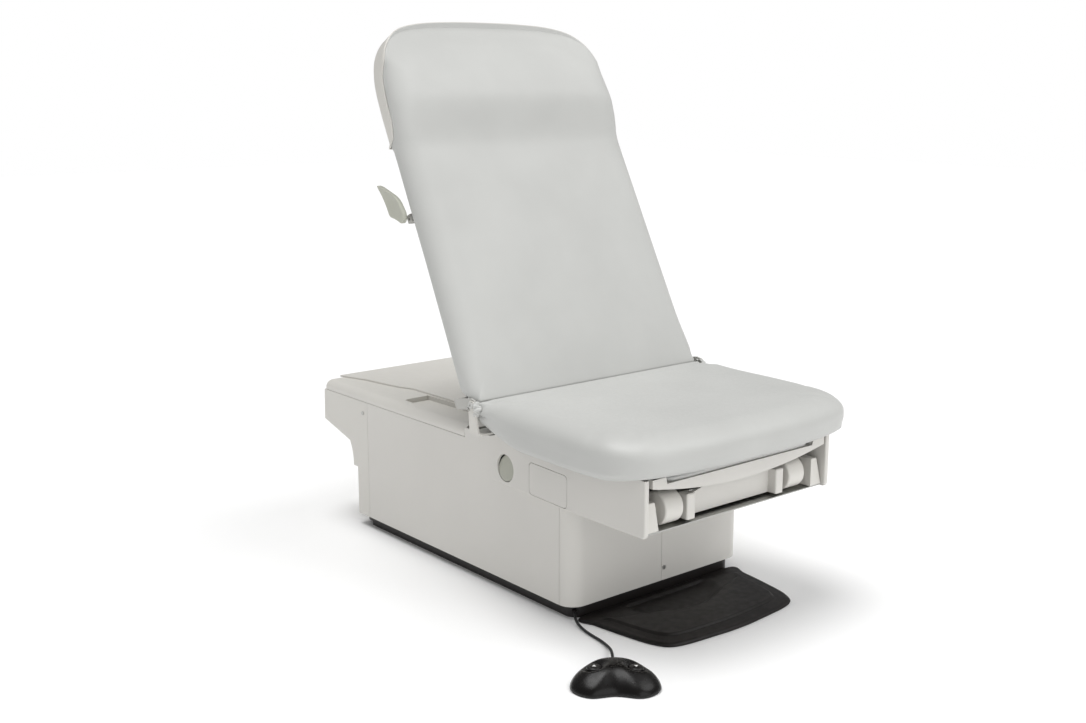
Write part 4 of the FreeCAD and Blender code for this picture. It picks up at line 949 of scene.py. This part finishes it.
def build_stage():
    """Flat pale floor, a bright room, three soft lights and the camera."""
    scene = bpy.context.scene
    across = np.linspace(-FLOOR_HALF, FLOOR_HALF, 3)
    run = np.linspace(-FLOOR_HALF, FLOOR_HALF, 40)
    a, r = np.meshgrid(across, run, indexing="ij")
    shape = np.stack([r, a, np.zeros_like(a)], axis=-1)
    floor = skin("studio_floor", shape, wrap=False, ends=(False, False))
    material, tree, shader, where = new_finish("studio floor")
    tone = ramp(tree, noise(tree, where, 2, 2), (0.985, 0.985, 0.985), (0.995, 0.995, 0.995))
    tree.links.new(tone, shader.inputs["Base Color"])
    shader.inputs["Roughness"].default_value = 0.55
    shader.inputs["Specular IOR Level"].default_value = 0.2
    floor.data.materials.append(material)
    world = bpy.data.worlds.new("studio")
    scene.world = world
    world.use_nodes = True
    sky = world.node_tree.nodes["Background"]
    sky.inputs["Color"].default_value = (1, 1, 1, 1)
    path = world.node_tree.nodes.new("ShaderNodeLightPath")
    glow = world.node_tree.nodes.new("ShaderNodeMapRange")
    glow.inputs["To Min"].default_value = ROOM_LIGHT
    glow.inputs["To Max"].default_value = 1.0
    world.node_tree.links.new(path.outputs["Is Camera Ray"], glow.inputs["Value"])
    world.node_tree.links.new(glow.outputs["Result"], sky.inputs["Strength"])
    broad_light("key", (0.50, -0.50, 0.88), 36, 0.85)
    broad_light("overhead", (-0.10, 0.15, 1.0), 34, 1.75)
    broad_light("front fill", (-0.12, -1.0, 0.20), 60, 1.05)
    camera = bpy.data.cameras.new("camera")
    camera.lens = CAMERA_LENS
    camera.sensor_width = 36
    camera.clip_end = 100
    eye = bpy.data.objects.new("camera", camera)
    eye.location = CAMERA_AT
    eye.rotation_euler = Vector(CAMERA_WAY).to_track_quat("-Z", "Y").to_euler()
    scene.collection.objects.link(eye)
    scene.camera = eye
    scene.view_settings.view_transform = "Standard"


# ------------------------------------------------------------
# Operators, panel and registration

class EXAMTABLE_OT_stage(bpy.types.Operator):
    """Adds the floor, the lights and the camera"""
    bl_idname = "examtable.stage"
    bl_label = "Studio"

    def execute(self, context):
        build_stage()
        return {"FINISHED"}


class EXAMTABLE_OT_cord(bpy.types.Operator):
    """Lays the foot control's cord on the floor"""
    bl_idname = "examtable.cord"
    bl_label = "Foot Control Cord"

    def execute(self, context):
        build_cord()
        return {"FINISHED"}


class EXAMTABLE_OT_finishes(bpy.types.Operator):
    """Gives every solid part the finish of its material slot"""
    bl_idname = "examtable.finishes"
    bl_label = "Finishes"

    def execute(self, context):
        dress_cad_nodes()
        return {"FINISHED"}


class EXAMTABLE_OT_seat(bpy.types.Operator):
    """Upholsters the seat"""
    bl_idname = "examtable.seat"
    bl_label = "Seat Cushion"

    def execute(self, context):
        build_seat()
        return {"FINISHED"}


class EXAMTABLE_OT_undersides(bpy.types.Operator):
    """Adds the dust covers under the seat and behind the back"""
    bl_idname = "examtable.undersides"
    bl_label = "Dust Covers"

    def execute(self, context):
        build_undersides()
        return {"FINISHED"}


class EXAMTABLE_OT_back(bpy.types.Operator):
    """Upholsters the back and its headrest"""
    bl_idname = "examtable.back"
    bl_label = "Back Cushion"

    def execute(self, context):
        build_back()
        return {"FINISHED"}


class EXAMTABLE_OT_head_shell(bpy.types.Operator):
    """Adds the moulded shell and apron behind the back"""
    bl_idname = "examtable.head_shell"
    bl_label = "Head Shell"

    def execute(self, context):
        build_head_shell()
        return {"FINISHED"}


class EXAMTABLE_OT_extension_pad(bpy.types.Operator):
    """Upholsters the foot extension"""
    bl_idname = "examtable.extension_pad"
    bl_label = "Extension Pad"

    def execute(self, context):
        build_extension_pad()
        return {"FINISHED"}


class EXAMTABLE_OT_gussets(bpy.types.Operator):
    """Adds the gathered cover at each end of the crease"""
    bl_idname = "examtable.gussets"
    bl_label = "Crease Gussets"

    def execute(self, context):
        build_gussets()
        return {"FINISHED"}


class EXAMTABLE_OT_levers(bpy.types.Operator):
    """Adds the paddles that release the back"""
    bl_idname = "examtable.levers"
    bl_label = "Release Levers"

    def execute(self, context):
        build_levers()
        return {"FINISHED"}


class EXAMTABLE_OT_step_cover(bpy.types.Operator):
    """Adds the moulded floor cover in front of the base"""
    bl_idname = "examtable.step_cover"
    bl_label = "Step Cover"

    def execute(self, context):
        build_step_cover()
        return {"FINISHED"}


class EXAMTABLE_OT_foot_control(bpy.types.Operator):
    """Adds the foot control's housing and its two buttons"""
    bl_idname = "examtable.foot_control"
    bl_label = "Foot Control"

    def execute(self, context):
        build_foot_control()
        return {"FINISHED"}


OPERATORS = (EXAMTABLE_OT_stage, EXAMTABLE_OT_cord, EXAMTABLE_OT_finishes, EXAMTABLE_OT_seat,
             EXAMTABLE_OT_undersides, EXAMTABLE_OT_back, EXAMTABLE_OT_head_shell,
             EXAMTABLE_OT_extension_pad, EXAMTABLE_OT_gussets, EXAMTABLE_OT_levers,
             EXAMTABLE_OT_step_cover, EXAMTABLE_OT_foot_control)


class EXAMTABLE_PT_panel(bpy.types.Panel):
    """Lists the table's pieces, sizes and colours"""
    bl_idname = "EXAMTABLE_PT_panel"
    bl_label = "Exam Table"
    bl_space_type = "VIEW_3D"
    bl_region_type = "UI"
    bl_category = "Exam Table"

    def draw(self, context):
        for group in (context.scene.exam_table_sizes, context.scene.exam_table_colours):
            box = self.layout.box()
            for prop in group.bl_rna.properties:
                if prop.identifier not in ("rna_type", "name"):
                    box.prop(group, prop.identifier)
        for operator in OPERATORS:
            self.layout.operator(operator.bl_idname)


CLASSES = (ExamTableSizes, ExamTableColours) + OPERATORS + (EXAMTABLE_PT_panel,)


def register():
    """Makes the classes and the two groups of properties known to Blender."""
    for cls in CLASSES:
        bpy.utils.register_class(cls)
    bpy.types.Scene.exam_table_sizes = bpy.props.PointerProperty(type=ExamTableSizes)
    bpy.types.Scene.exam_table_colours = bpy.props.PointerProperty(type=ExamTableColours)


def unregister():
    """Takes back what register did, in the opposite order."""
    del bpy.types.Scene.exam_table_colours
    del bpy.types.Scene.exam_table_sizes
    for cls in reversed(CLASSES):
        bpy.utils.unregister_class(cls)


def main():
    """Runs every operator in order."""
    register()
    for operator in OPERATORS:
        group, name = operator.bl_idname.split(".")
        getattr(getattr(bpy.ops, group), name)()


if __name__ == "__main__":
    main()
